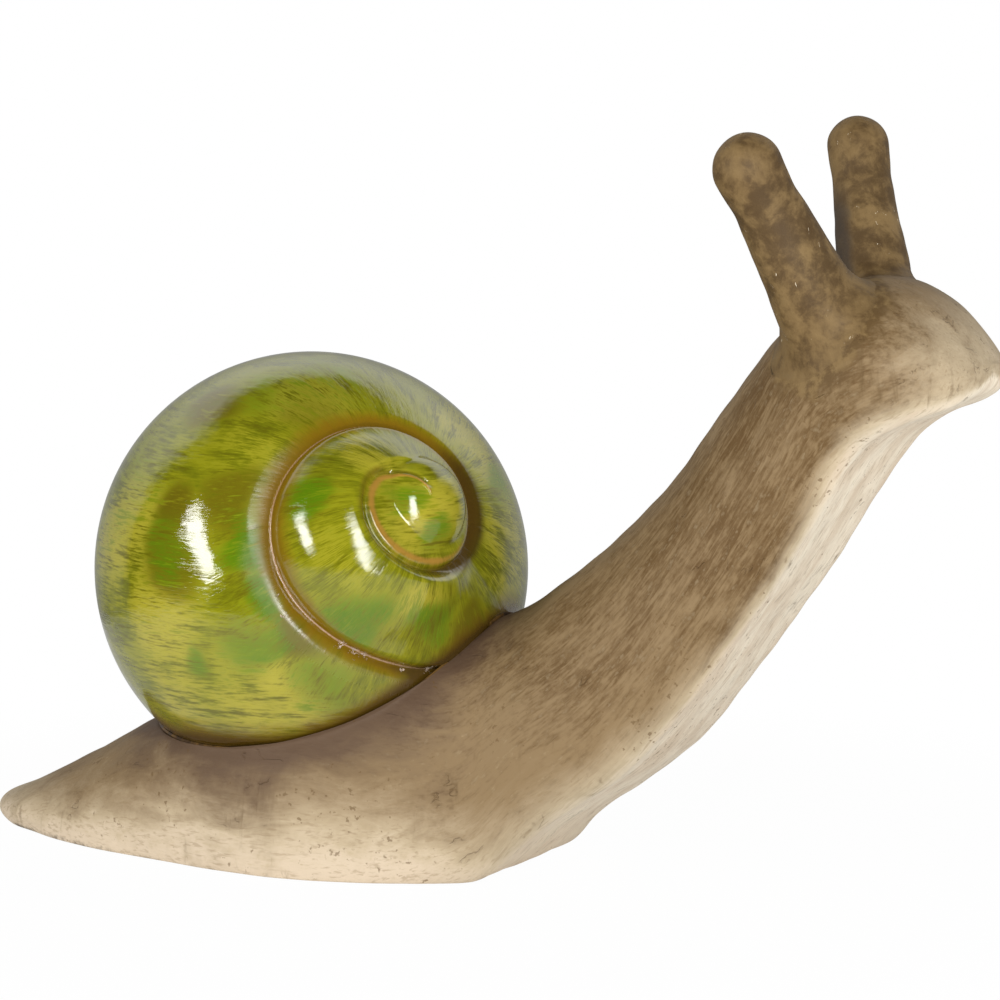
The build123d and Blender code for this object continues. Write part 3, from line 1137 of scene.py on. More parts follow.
    def relief(self, lap: Lap, cord_share: np.ndarray) -> dict[str, np.ndarray]:
        """Forms off one lap of the suture.

        Both flanks of the groove are round: at a share s of the flank its depth is
        (1 - s)(1 - r s) of the whole, with a roundness r.

        Args:
            lap: The lap.
            cord_share: How far the raised cord has set in.

        Returns:
            The groove, the whorl's crown and the cord's swell in metres, and the cord as a
            mark from 0 to 1 under the name of ridge.
        """
        inner = lap.inside > 0.0
        steep = self.steep_goes.fall(lap.turn)
        outer_flank = self.outer_flank - self.steep_flank * steep
        share = np.where(inner, lap.inside / self.inner_flank, -lap.inside / outer_flank)
        share = np.clip(share / lap.whorl, 0.0, 1.0)
        roundness = np.where(inner, self.inner_round, self.outer_round + self.steep_round * steep)
        flank = soft_above(1.0 - share, 0.0, self.flank_softness) - 0.5 * self.flank_softness * share
        depth = (self.groove_depth * lap.whorl + self.least_depth) * lap.fade
        cord = bell(lap.inside - self.cord_aside, self.cord_reach) * cord_share
        settled = lap.fade * self.crown_goes.fall(lap.turn)
        return {
            "groove": depth * flank * (1.0 - roundness * share),
            "crown": settled * self.crown_height(lap.inside, lap.whorl),
            "swell": self.cord_height * cord,
            "ridge": cord,
        }

    def spiral(self, unit: np.ndarray) -> dict[str, np.ndarray]:
        """Relief of the suture and the marks that its glaze follows, over all laps.

        Args:
            unit: Unit vectors, one to a row.

        Returns:
            Forms in metres and marks from 0 to 1, by name.
        """
        angle, bearing = self.polar(unit)
        found: dict[str, np.ndarray] = {}
        for count in self.laps:
            turn = (self.start_bearing - bearing) / 360.0 + count
            suture = self.suture_angle(turn)
            whorl = self.radius * np.radians(suture) * (1.0 - 1.0 / self.growth)
            ends = np.minimum(turn - self.start_turn, self.end_turn - turn)
            lap = Lap(
                turn=turn,
                inside=self.radius * np.radians(suture - angle),
                whorl=np.maximum(whorl, self.least_whorl),
                fade=np.clip(ends / self.runout, 0.0, 1.0),
            )
            cord_share = self.cord_comes.rise(turn) * lap.fade
            layers = {**self.relief(lap, cord_share), **self.glaze.marks(lap, cord_share)}
            for name, layer in layers.items():
                found[name] = np.maximum(found.get(name, 0.0), layer)
        return found

    def crown_height(self, inside: np.ndarray, whorl: np.ndarray) -> np.ndarray:
        """Swell of a whorl over the dome.

        It is a parabola that rises from the suture to the crest, 1 - (1 - s / crest)^2,
        then one that drops to the next suture, and what is left dies away beyond that.

        Args:
            inside: Distance in from the suture.
            whorl: Width of the whorl.

        Returns:
            The swell for each point.
        """
        s = np.maximum(inside / whorl, 0.0)
        rise = 1.0 - (1.0 - np.minimum(s / self.crest, 1.0)) ** 2
        drop = np.clip((s - self.crest) / (1.0 - self.crest), 0.0, 1.0)
        return self.crown * whorl * (rise - self.crest_drop * drop**2) * self.crown_ends.fall(s)

    def patches(self, unit: np.ndarray) -> dict[str, np.ndarray]:
        """Marks for the patches of each tint: a soft spot about its middle, pulled about."""
        marks = {tint.value: np.zeros(len(unit)) for tint in Tint}
        pulls = [hand_wobble(unit, self.patch_wave, seed) for seed in self.patch_seeds]
        pulled = unit + self.patch_pull * np.stack(pulls, axis=-1)
        pulled /= np.linalg.norm(pulled, axis=-1, keepdims=True)
        for patch in GLAZE_PATCHES:
            off = self.degrees_off(pulled, patch.heading, patch.rise) / patch.reach
            name = patch.tint.value
            marks[name] = np.maximum(marks[name], patch.strength * self.patch_edge.rise(off))
        return marks

    def chips(self, unit: np.ndarray) -> np.ndarray:
        """Mark for the few places where the glaze has crackled to white."""
        spots = [bell(self.degrees_off(unit, *spot), reach) for *spot, reach in CRACKLE_SPOTS]
        return np.max(spots, axis=0)

    def ring_angles(self) -> np.ndarray:
        """Angles of the rings from the pole: close on the whorls, wide on the far side."""
        fine = np.linspace(0.0, math.pi, self.ring_samples)
        density = self.rings_widen.fall(fine)
        travel = np.concatenate([[0.0], np.cumsum(0.5 * (density[1:] + density[:-1]))])
        even = np.linspace(0.0, travel[-1], self.rings + 2)[1:-1]
        return np.interp(even, travel, fine)

    def build(self, join: "ShellJoin") -> bpy.types.Object:
        """Makes the shell from rings round the spiral's pole.

        Args:
            join: The line where the body meets the globe.

        Returns:
            The shell.
        """
        level, upper, pole = self.axes()
        bearing = -np.linspace(0.0, 2 * math.pi, self.around, endpoint=False)
        angle, bearing = np.meshgrid(self.ring_angles(), bearing, indexing="ij")
        cross = np.cos(bearing)[..., None] * level + np.sin(bearing)[..., None] * upper
        unit = np.cos(angle)[..., None] * pole + np.sin(angle)[..., None] * cross
        flat = unit.reshape(-1, 3)
        found = self.spiral(flat)
        reach = self.skin_reach(flat, found.pop("crown"))
        reach += found.pop("swell") - found.pop("groove")
        above = join.height_above(flat * self.radius)
        foot = dying_away(above - self.pool_above_join, self.pool_reach)
        off_pole = np.degrees(angle.reshape(-1))
        turn = bearing.reshape(-1)
        marks = {
            **found,
            **self.patches(flat),
            "pool": np.maximum(found["pool"], foot),
            # Dark line at the join with the body, and painted shade that dies away above it.
            "base": self.join_line_and_shade_strength * dying_away(above, self.join_line_and_shade_reach),
            "chips": self.chips(flat),
            "growth": np.stack([np.cos(turn), np.sin(turn), angle.reshape(-1)], axis=-1),
            "fan": self.fan_edge.rise(off_pole) * self.fan_eye.rise(off_pole),
        }
        marks = {mark: values.reshape(*angle.shape, -1) for mark, values in marks.items()}
        grid = (self.centre + flat * reach[:, None]).reshape(unit.shape)
        tips = np.stack([pole, -pole])
        tips = self.centre + tips * self.skin_reach(tips)[:, None]
        return grid_mesh("shell_globe", grid, (tips[0], tips[1]), marks)


@dataclass
class ShellJoin:
    """Line where the body's skin meets the globe, as a height for each heading round it."""

    shell: SpiralShell
    nearness: float = 0.8 * MM
    lowest: float = -0.064
    waves: int = 5
    weights: np.ndarray = field(default_factory=lambda: np.zeros(1))

    def fit(self, points: np.ndarray) -> None:
        """Fits the line to the body's own points that lie on the globe.

        The height over the globe's centre is a sum of cosines of the heading, which is
        the same on both sides, by least squares.

        Args:
            points: Points of the body's outer form, one to a row.
        """
        offset = points - self.shell.centre
        distance = np.linalg.norm(offset, axis=1)
        near = np.abs(distance - self.shell.radius) < self.nearness
        near &= offset[:, 2] > self.lowest
        heading = np.arctan2(offset[near, 1], offset[near, 0])
        waves = np.cos(heading[:, None] * np.arange(self.waves))
        self.weights = np.linalg.lstsq(waves, offset[near, 2], rcond=None)[0]

    def height_above(self, offset: np.ndarray) -> np.ndarray:
        """How far points, given from the globe's centre, lie above the line."""
        heading = np.arctan2(offset[:, 1], offset[:, 0])
        waves = np.cos(heading[:, None] * np.arange(self.waves))
        return offset[:, 2] - waves @ self.weights


@dataclass(frozen=True)
class WashPlan:
    """Where the wash lies on the body, by X and Z and by the share round a section."""

    neck: Ramp = Ramp(0.0, 45 * MM)
    belly_edge: float = 0.19
    belly_edge_on_head: Ramp = Ramp(118 * MM, 145 * MM, 0.03)
    belly_spread: float = 0.11
    belly_spread_low: Ramp = Ramp(75 * MM, 20 * MM, 0.12)
    belly_fade: Ramp = Ramp(-0.3, 1.0)
    tail: Ramp = Ramp(-70 * MM, -135 * MM)
    tail_edge: Ramp = Ramp(-4 * MM, 28 * MM)
    foot_edge: Ramp = Ramp(-7 * MM, 43 * MM)
    bare_nose: Ramp = Ramp(145 * MM, 176 * MM, 0.55)
    deep_foot: Ramp = Ramp(30 * MM, 75 * MM, 0.50)
    deep_neck: Ramp = Ramp(75 * MM, 150 * MM, 0.25)
    pale_back: Ramp = Ramp(0.66, 0.97, 0.70)
    pale_nose: Ramp = Ramp(143 * MM, 172 * MM, 0.80)
    # Painted shade beside the shell: where it starts, how far it reaches, and from where back it
    # lies.
    shade_start: float = 1 * MM
    shade_reach: float = 17 * MM
    shade_behind: Ramp = Ramp(60 * MM, 0.0)
    brow_back: Ramp = Ramp(108 * MM, 122 * MM, 0.62)
    brow_front: Ramp = Ramp(168 * MM, 146 * MM)
    brow_up: Ramp = Ramp(146 * MM, 172 * MM)
    brow_crown: Ramp = Ramp(0.70, 0.92, 0.75)
    mantle_outer: float = 13 * MM
    mantle_inner: float = 3 * MM
    mantle_deep: float = 25 * MM
    # Darker towards the ground edge, most at the tail.
    ground_dark_up: Ramp = Ramp(3.5 * MM, 0.4 * MM)
    ground_dark_least: float = 0.25
    ground_dark_tail: Ramp = Ramp(-60 * MM, -140 * MM, 0.35)

    def wash(self, x: np.ndarray, z: np.ndarray, round_share: np.ndarray) -> np.ndarray:
        """How far the wash covers the clay.

        It starts at the belly's edge on the neck and a little over the ground on the foot.
        """
        neck, tail = self.neck.rise(x), self.tail.rise(x)
        edge = self.belly_edge + self.belly_edge_on_head.rise(x)
        spread = self.belly_spread + self.belly_spread_low.rise(z)
        on_neck = self.belly_fade.rise((round_share - edge) / spread)
        on_foot = self.tail_edge.rise(z) * tail + self.foot_edge.rise(z) * (1.0 - tail)
        return (on_foot * (1.0 - neck) + on_neck * neck) * self.bare_nose.fall(x)

    def depth(self, x: np.ndarray, z: np.ndarray, round_share: np.ndarray) -> np.ndarray:
        """How dark the wash is: more so up the neck, less over the back and on the nose."""
        depth = self.deep_foot.rise(z) + self.deep_neck.rise(z)
        depth = depth - self.pale_back.rise(round_share) * self.neck.rise(x)
        return depth - self.pale_nose.rise(x)

    def brow(self, x: np.ndarray, z: np.ndarray, round_share: np.ndarray) -> np.ndarray:
        """Dark drips on the sides of the head."""
        forward = self.brow_back.rise(x) * self.brow_front.rise(x)
        return forward * self.brow_up.rise(z) * self.brow_crown.fall(round_share)

    def shade(self, grid: np.ndarray, shell: SpiralShell) -> np.ndarray:
        """Painted shade beside and under the shell, from the neck back, dying away from the globe.
        """
        distance = np.linalg.norm(grid - shell.centre, axis=-1) - shell.radius
        beside = dying_away(distance - self.shade_start, self.shade_reach)
        return beside * self.shade_behind.rise(grid[..., 0])

    def mantle(self, grid: np.ndarray, stems: list["Tentacle"]) -> np.ndarray:
        """The tentacles' wash, where it runs on to the head round them."""
        mark = np.zeros(grid.shape[:2])
        for stem in stems:
            offset = grid - stem.root
            axis = stem.axes()[2]
            along = offset @ axis
            off_axis = np.linalg.norm(offset - along[..., None] * axis, axis=-1)
            edge = Ramp(stem.root_radius + self.mantle_outer, stem.root_radius + self.mantle_inner)
            mark = np.maximum(mark, edge.rise(off_axis) * (along > -self.mantle_deep))
        return mark

    def marks(
        self, grid: np.ndarray, round_share: np.ndarray, shell: SpiralShell, stems: list["Tentacle"]
    ) -> dict[str, np.ndarray]:
        """One value of each mark for each point of the body's grid.

        Args:
            grid: Points by section and place round it.
            round_share: From 0 at the belly to 1 at the back, for each point.
            shell: The shell, beside which the body gets painted shade.
            stems: The tentacles, whose wash runs on to the head round them.

        Returns:
            The marks by name.
        """
        x, _, z = np.moveaxis(grid, -1, 0)
        return {
            "wash": self.wash(x, z, round_share),
            "depth": self.depth(x, z, round_share),
            "shade": self.shade(grid, shell),
            "ground_dark": self.ground_dark_up.rise(z) * (self.ground_dark_least + self.ground_dark_tail.rise(x)),
            "tan": self.neck.fall(x),
            "brow": self.brow(x, z, round_share),
            "mantle": self.mantle(grid, stems),
        }


@dataclass
class BodyCasting:
    """Foot, neck and head: one skin of sections that lean with the neck."""

    length: float
    crown_height: float = 195.5 * MM
    foot_width: float = 113 * MM
    quarter: float = 0.55
    arc_shares: tuple[float, float, float] = (0.19, 0.16, 0.65)
    rings: int = 396
    around: int = 244
    ring_samples: int = 4000
    swells: tuple[HandSwell, ...] = (
        HandSwell(0.45 * MM, 46 * MM, 0.7),
        HandSwell(0.22 * MM, 17 * MM, 2.9),
    )
    sole_softness: float = 0.7 * MM
    sole_cut: float = 0.2 * MM
    vent_radius: float = 9.0 * MM
    vent_depth: float = 6.0 * MM
    vent_flare: float = 0.6 * MM
    saddle_gap: float = 0.8 * MM
    saddle_softness: float = 1.6 * MM
    saddle_above_vent: float = 1 * MM
    plan: WashPlan = WashPlan()
    grid: np.ndarray = field(default_factory=lambda: np.zeros((1, 1, 3)))
    skin: np.ndarray = field(default_factory=lambda: np.zeros((1, 1, 3)))
    belly_share: np.ndarray = field(default_factory=lambda: np.zeros((1, 1)))

    def sections(self) -> np.ndarray:
        """Sections in metres, evenly spaced along the outline.

        The spacing counts how far the section moves and how fast it grows or shrinks, so
        that the blunt ends get their share of rings.

        Returns:
            Rows of belly x and z, back x and z, half width, belly half width, waist and
            shoulder.
        """
        rows = np.array([list(vars(station).values()) for station in BODY_SHARES])
        long, tall, wide = self.length, self.crown_height, self.foot_width
        rows = rows * [long, tall, long, tall, wide, wide, 1.0, 1.0]
        fine = np.linspace(0.0, len(rows) - 1.0, self.ring_samples)
        steps = np.diff(spline_through(rows, fine)[:, :5], axis=0)
        travel = np.concatenate([[0.0], np.cumsum(np.linalg.norm(steps, axis=1))])
        even = np.linspace(0.0, travel[-1], self.rings)
        return spline_through(rows, np.interp(even, travel, fine))

    def form(self) -> None:
        """Works out the outer form before the shell's saddle is pressed into it.

        Half a section is a level belly line, a quarter that turns up to the widest
        point, and a quarter that closes over the back.
        """
        rows = self.sections()
        belly = rows[:, [0, 1]]
        rise = rows[:, [2, 3]] - belly
        height = np.linalg.norm(rise, axis=1)
        lean = rise / height[:, None]
        half, flat = rows[:, 4:5], rows[:, 5:6]
        waist = rows[:, 6:7] * height[:, None]
        crest = height[:, None] - waist
        shoulder = rows[:, 7:8]
        height = height[:, None]
        counts = np.round(np.array(self.arc_shares) * self.around / 2).astype(int)
        t_belly, t_lower, t_upper = (np.arange(n)[None] / n for n in counts)
        zero = np.zeros_like(half)
        reach = self.quarter
        across = np.hstack(
            [
                flat * t_belly,
                bezier([flat, flat + reach * (half - flat), half, half], t_lower),
                bezier([half, half, half * shoulder, zero], np.append(t_upper, 1.0)[None]),
            ]
        )
        up = np.hstack(
            [
                zero * t_belly,
                bezier([zero, zero, waist * (1 - reach), waist], t_lower),
                bezier(
                    [waist, waist + shoulder * crest, height, height],
                    np.append(t_upper, 1.0)[None],
                ),
            ]
        )
        across = np.hstack([across, -across[:, -2:0:-1]])
        up = np.hstack([up, up[:, -2:0:-1]])
        share = np.linspace(0.0, 1.0, counts.sum() + 1)
        self.belly_share = np.hstack([share, share[-2:0:-1]])[None] * np.ones_like(up)
        self.grid = np.stack(
            [
                belly[:, :1] + lean[:, :1] * up,
                across,
                belly[:, 1:] + lean[:, 1:] * up,
            ],
            axis=-1,
        )
        middle = self.grid.mean(axis=1)
        walk = np.linalg.norm(np.diff(middle, axis=0), axis=1)
        along = np.concatenate([[0.0], np.cumsum(walk)])[:, None] * np.ones_like(up)
        self.skin = np.stack([along, across, up], axis=-1)

    def finish_surface(self, shell: SpiralShell) -> None:
        """Adds hand-worked unevenness, then the flat sole, the vent and the saddle.

        Args:
            shell: The shell that the saddle fits.
        """
        x, y, z = np.moveaxis(uneven(self.grid, self.swells), -1, 0)
        z = soft_above(z, 0.0, self.sole_softness)
        z = np.where(z < self.sole_cut, 0.0, z - self.sole_cut)
        vent = Ramp(self.vent_radius + self.vent_flare, self.vent_radius, self.vent_depth)
        dent = vent.rise(np.hypot(x - shell.centre[0], y))
        z = np.where(z < self.vent_depth, np.maximum(z, dent), z)
        self.grid = np.stack([x, y, z], axis=-1)
        offset = self.grid - shell.centre
        distance = np.linalg.norm(offset, axis=-1, keepdims=True)
        pressed = soft_above(distance, shell.radius + self.saddle_gap, self.saddle_softness)
        above_sole = self.grid[..., 2:] > self.vent_depth + self.saddle_above_vent
        grow = 1.0 + (pressed / distance - 1.0) * above_sole
        self.grid = shell.centre + offset * grow

    def build(self, shell: SpiralShell, stems: list["Tentacle"]) -> bpy.types.Object:
        """Makes the casting.

        Args:
            shell: The shell that it carries.
            stems: The tentacles on its head.

        Returns:
            The casting.
        """
        self.finish_surface(shell)
        poles = self.grid[0].mean(axis=0), self.grid[-1].mean(axis=0)
        marks = {**self.plan.marks(self.grid, self.belly_share, shell, stems), "skin": self.skin}
        return grid_mesh("body_casting", self.grid, poles, marks)


@dataclass(frozen=True)
class Girth:
    """How thick a tentacle came out, as shares of the usual radius of stem and root."""

    stem_share: float
    root_share: float


GIRTHS = {Side.RIGHT: Girth(1.04, 1.075), Side.LEFT: Girth(0.95, 0.95)}


@dataclass
class Tentacle:
    """One tentacle: a tapered stem with a round knob, turned about a leaning axis."""

    side: Side
    root: np.ndarray
    root_along_share: float = 0.3637
    root_aside: float = 21.2 * MM
    root_up_share: float = 0.950
    length: float = 63.2 * MM
    root_radius: float = 12.8 * MM
    waist_radius: float = 9.5 * MM
    waist_share: float = 0.80
    waist_softness: float = 0.3 * MM
    knob_radius: float = 10.4 * MM
    knob_blend: float = 0.06
    buried_share: float = -0.2
    lean_out: float = 23.6
    lean_back: float = 19.2
    sunk: float = 9.0 * MM
    rings: int = 120
    cap_rings: int = 30
    around: int = 110
    swells: tuple[HandSwell, ...] = (
        HandSwell(0.28 * MM, 26 * MM, 1.3),
        HandSwell(0.10 * MM, 9 * MM, 4.1),
    )
    skin_band: float = 4 * MM
    skin_deep: float = 24 * MM
    skin_blur: float = 1.2 * MM
    # Painted shade on the stem: the side it faces, how low it lies, and how much shows on the right
    # tentacle.
    painted_shade_side: tuple[float, float, float] = (-0.891, -0.454, 0.0)
    painted_shade_facing: Ramp = Ramp(0.35, 0.95)
    painted_shade_low: Ramp = Ramp(0.95, 0.35)
    painted_shade_on_right: float = 0.15
    # Darker band over the middle of the stem.
    middle_dark_rises: Ramp = Ramp(0.05, 0.35)
    middle_dark_ends: Ramp = Ramp(1.0, 0.75)

    def __post_init__(self) -> None:
        """Makes the right tentacle thicker than the left one."""
        girth = GIRTHS[self.side]
        self.root_radius *= girth.root_share
        self.waist_radius *= girth.stem_share
        self.knob_radius *= girth.stem_share

    @classmethod
    def on_head(cls, side: Side, body: BodyCasting) -> "Tentacle":
        """The tentacle of one side in its place on the head."""
        along, up = cls.root_along_share * body.length, cls.root_up_share * body.crown_height
        return cls(side, np.array([along, cls.root_aside * side.value, up]))

    def axes(self) -> tuple[np.ndarray, np.ndarray, np.ndarray]:
        """Two cross directions and the axis, which leans out and back."""
        out, back = math.radians(self.lean_out), math.radians(self.lean_back)
        up = np.array([0.0, self.side.value * math.sin(out), math.cos(out)])
        axis = np.array([-up[2] * math.sin(back), up[1], up[2] * math.cos(back)])
        first = np.cross([0.0, 1.0, 0.0], axis)
        first /= np.linalg.norm(first)
        return first, np.cross(axis, first), axis

    def knob_along(self) -> float:
        """How far along the axis the knob's centre is."""
        return self.length - self.knob_radius

    def skin_line(self, skin: np.ndarray, radius: float, turn: np.ndarray) -> np.ndarray:
        """How far along the axis the head's skin lies, at a radius off the axis.

        It is a mean of the skin points about each place, each with the weight
        exp(-d^2 / 2 s^2) at a distance d and a softness s.

        Args:
            skin: Points of the head, one to a row.
            radius: Distance off the axis.
            turn: Angles round the axis where it is wanted.

        Returns:
            One height along the axis for each angle.
        """
        first, second, axis = self.axes()
        offset = skin - self.root
        a, b, along = offset @ first, offset @ second, offset @ axis
        near = (np.abs(np.hypot(a, b) - radius) < self.skin_band) & (np.abs(along) < self.skin_deep)
        a, b, along = a[near], b[near], along[near]
        apart = np.hypot(np.cos(turn)[:, None] * radius - a, np.sin(turn)[:, None] * radius - b)
        weight = np.exp(-0.5 * (apart / self.skin_blur) ** 2)
        return (weight @ along) / weight.sum(axis=1)

    def radius_at(self, along: np.ndarray) -> np.ndarray:
        """Radius along the stem: an even taper to the waist, a swell to the knob, a round end."""
        knob = self.knob_along()
        share = np.clip(along / knob, self.buried_share, 1.0)
        taper = (self.root_radius - self.waist_radius) * (1.0 - share / self.waist_share)
        stem = self.waist_radius + soft_above(taper, 0.0, self.waist_softness)
        swell = smooth_step(share, self.waist_share - self.knob_blend, 1.0)
        stem = stem + (self.knob_radius - stem) * swell
        over = np.clip((along - knob) / self.knob_radius, 0.0, 1.0)
        return stem * np.sqrt(1.0 - over**2)

    def place(self, turn: np.ndarray, radius: np.ndarray, along: np.ndarray) -> np.ndarray:
        """Points at an angle round the axis, a radius off it and a height along it."""
        first, second, axis = self.axes()
        ring = np.cos(turn)[..., None] * first + np.sin(turn)[..., None] * second
        return self.root + along[..., None] * axis + radius[..., None] * ring

    def build(self) -> bpy.types.Object:
        """Makes the tentacle, a little uneven."""
        stem = np.linspace(-self.sunk, self.knob_along(), self.rings)
        cap = np.linspace(0.0, math.pi / 2, self.cap_rings + 1)[1:-1]
        along = np.concatenate([stem, self.knob_along() + self.knob_radius * np.sin(cap)])
        turn = np.linspace(0.0, 2 * math.pi, self.around, endpoint=False)
        along, turn = np.meshgrid(along, turn, indexing="ij")
        grid = uneven(self.place(turn, self.radius_at(along), along), self.swells, self.side.value)
        tip = self.place(np.zeros(1), np.zeros(1), np.array([self.length]))[0]
        name = f"tentacle_{self.side.name.lower()}_stem"
        return grid_mesh(name, grid, (grid[0].mean(axis=0), tip), self.marks(turn, along))

    def marks(self, turn: np.ndarray, along: np.ndarray) -> dict[str, np.ndarray]:
        """Where the tentacle's finish is darker, at angles round the axis and heights along it.

        Returns:
            Painted shade, low on the side that faces the tail and the right, and a darker
            band over the middle of the stem.
        """
        share = along / self.knob_along()
        facing = self.place(turn, np.ones_like(turn), along) - self.place(turn, 0 * turn, along)
        # Painted shade on the side that faces the tail and the right, lowest on the stem.
        painted_shade = self.painted_shade_facing.rise(facing @ self.painted_shade_side) * self.painted_shade_low.rise(share)
        strength = 1.0 if self.side is Side.LEFT else self.painted_shade_on_right
        return {
            "painted_shade": painted_shade * strength,
            "middle_dark": self.middle_dark_rises.rise(share) * self.middle_dark_ends.rise(share),
        }


@dataclass
class JointCollar:
    """Slip smeared round a tentacle's root, hollow from the stem out to the head."""

    stem: Tentacle
    skin: np.ndarray
    climb: float = 9.0 * MM
    climb_sway: float = 0.25
    lobes: float = 3.0
    spread: float = 8.0 * MM
    sunk: float = 0.35 * MM
    top_sunk: float = 0.25 * MM
    bend_out: float = 0.3 * MM
    bend_up: float = 0.6 * MM
    hidden_in: float = 3 * MM
    hidden_down: float = 4 * MM
    around: int = 132
    visible: int = 22
    hidden: int = 8
    swells: tuple[HandSwell, ...] = (HandSwell(0.22 * MM, 11 * MM, 2.2),)

    @staticmethod
    def arc(start: np.ndarray, bend: np.ndarray, end: np.ndarray, t: np.ndarray) -> np.ndarray:
        """Quadratic curve (1 - t)^2 start + 2 t (1 - t) bend + t^2 end."""
        t = t[:, None, None]
        return (1 - t) ** 2 * start + 2 * t * (1 - t) * bend + t * t * end

    def build(self) -> bpy.types.Object:
        """Makes the collar as a ring whose section closes inside the stem and the head.

        The section that shows is a quadratic curve from the stem to the head, bent
        towards the corner between them.

        Returns:
            The collar.
        """
        stem = self.stem
        turn = np.linspace(0.0, 2 * math.pi, self.around, endpoint=False)
        low = stem.skin_line(self.skin, stem.root_radius, turn)
        far = stem.skin_line(self.skin, stem.root_radius + self.spread, turn)
        sway = self.climb_sway * np.sin(self.lobes * turn + stem.side.value)
        top = low + self.climb * (1.0 + sway)
        r_top, r_low = stem.radius_at(top), stem.radius_at(low)
        start = np.stack([r_top - self.top_sunk, top])
        bend = np.stack([r_low + self.bend_out, low + self.bend_up])
        end = np.stack([r_low + self.spread, far - self.sunk])
        inner = np.stack([r_low - self.hidden_in, low - self.hidden_down])
        shown = self.arc(start, bend, end, np.linspace(0.0, 1.0, self.visible))
        back = self.arc(end, inner, start, np.linspace(0.0, 1.0, self.hidden, endpoint=False)[1:])
        loop = np.concatenate([shown, back])
        radius, along = loop[:, 0], loop[:, 1]
        turn = turn * np.ones_like(radius)
        arch = np.sin(np.linspace(0.0, math.pi, self.visible))
        inward = -np.concatenate([arch, np.zeros(self.hidden - 1)])[:, None]
        grid = uneven(stem.place(turn, radius, along), self.swells, stem.side.value, inward)
        name = f"tentacle_{stem.side.name.lower()}_collar"
        return ring_mesh(name, grid, stem.marks(turn, along))


@dataclass(frozen=True)
class Viewpoint:
    """Camera at the photograph's angle, far off with a long lens."""

    azimuth: float = 27.0
    elevation: float = 8.0
    distance: float = 1.7
    target: tuple[float, float, float] = (0.009, 0.0, 0.118)
    pixels_per_radian: float = 5304.0
    frame_pixels: float = 1000.0
    sensor: float = 36.0

    def back(self) -> Vector:
        """Unit vector from the target to the camera."""
        a, e = math.radians(self.azimuth), math.radians(self.elevation)
        return Vector((math.sin(a) * math.cos(e), -math.cos(a) * math.cos(e), math.sin(e)))

    def place(self) -> None:
        """Makes the camera and gives it to the scene."""
        data = bpy.data.cameras.new("camera")
        data.sensor_width = self.sensor
        data.sensor_fit = "HORIZONTAL"
        data.lens = self.pixels_per_radian / self.frame_pixels * self.sensor
        data.clip_end = 20.0
        camera = bpy.data.objects.new("camera", data)
        camera.location = Vector(self.target) + self.back() * self.distance
        camera.rotation_euler = self.back().to_track_quat("Z", "Y").to_euler()
        bpy.context.scene.collection.objects.link(camera)
        bpy.context.scene.camera = camera


@dataclass(frozen=True)
class SoftBox:
    """A rectangular studio lamp that faces the figure."""

    name: str
    towards: tuple[float, float, float]
    distance: float
    size: tuple[float, float]
    power: float
    roll: float = 0.0
    aim: tuple[float, float, float] = (-0.03, 0.0, 0.1)

    def place(self) -> None:
        """Makes the lamp."""
        data = bpy.data.lights.new(self.name, "AREA")
        data.shape = "RECTANGLE"
        data.size, data.size_y = self.size
        data.energy = self.power
        direction = Vector(self.towards).normalized()
        lamp = bpy.data.objects.new(self.name, data)
        lamp.location = Vector(self.aim) + direction * self.distance
        upright = direction.to_track_quat("Z", "Y")
        lamp.rotation_euler = (upright @ Quaternion((0.0, 0.0, 1.0), self.roll)).to_euler()
        bpy.context.scene.collection.objects.link(lamp)


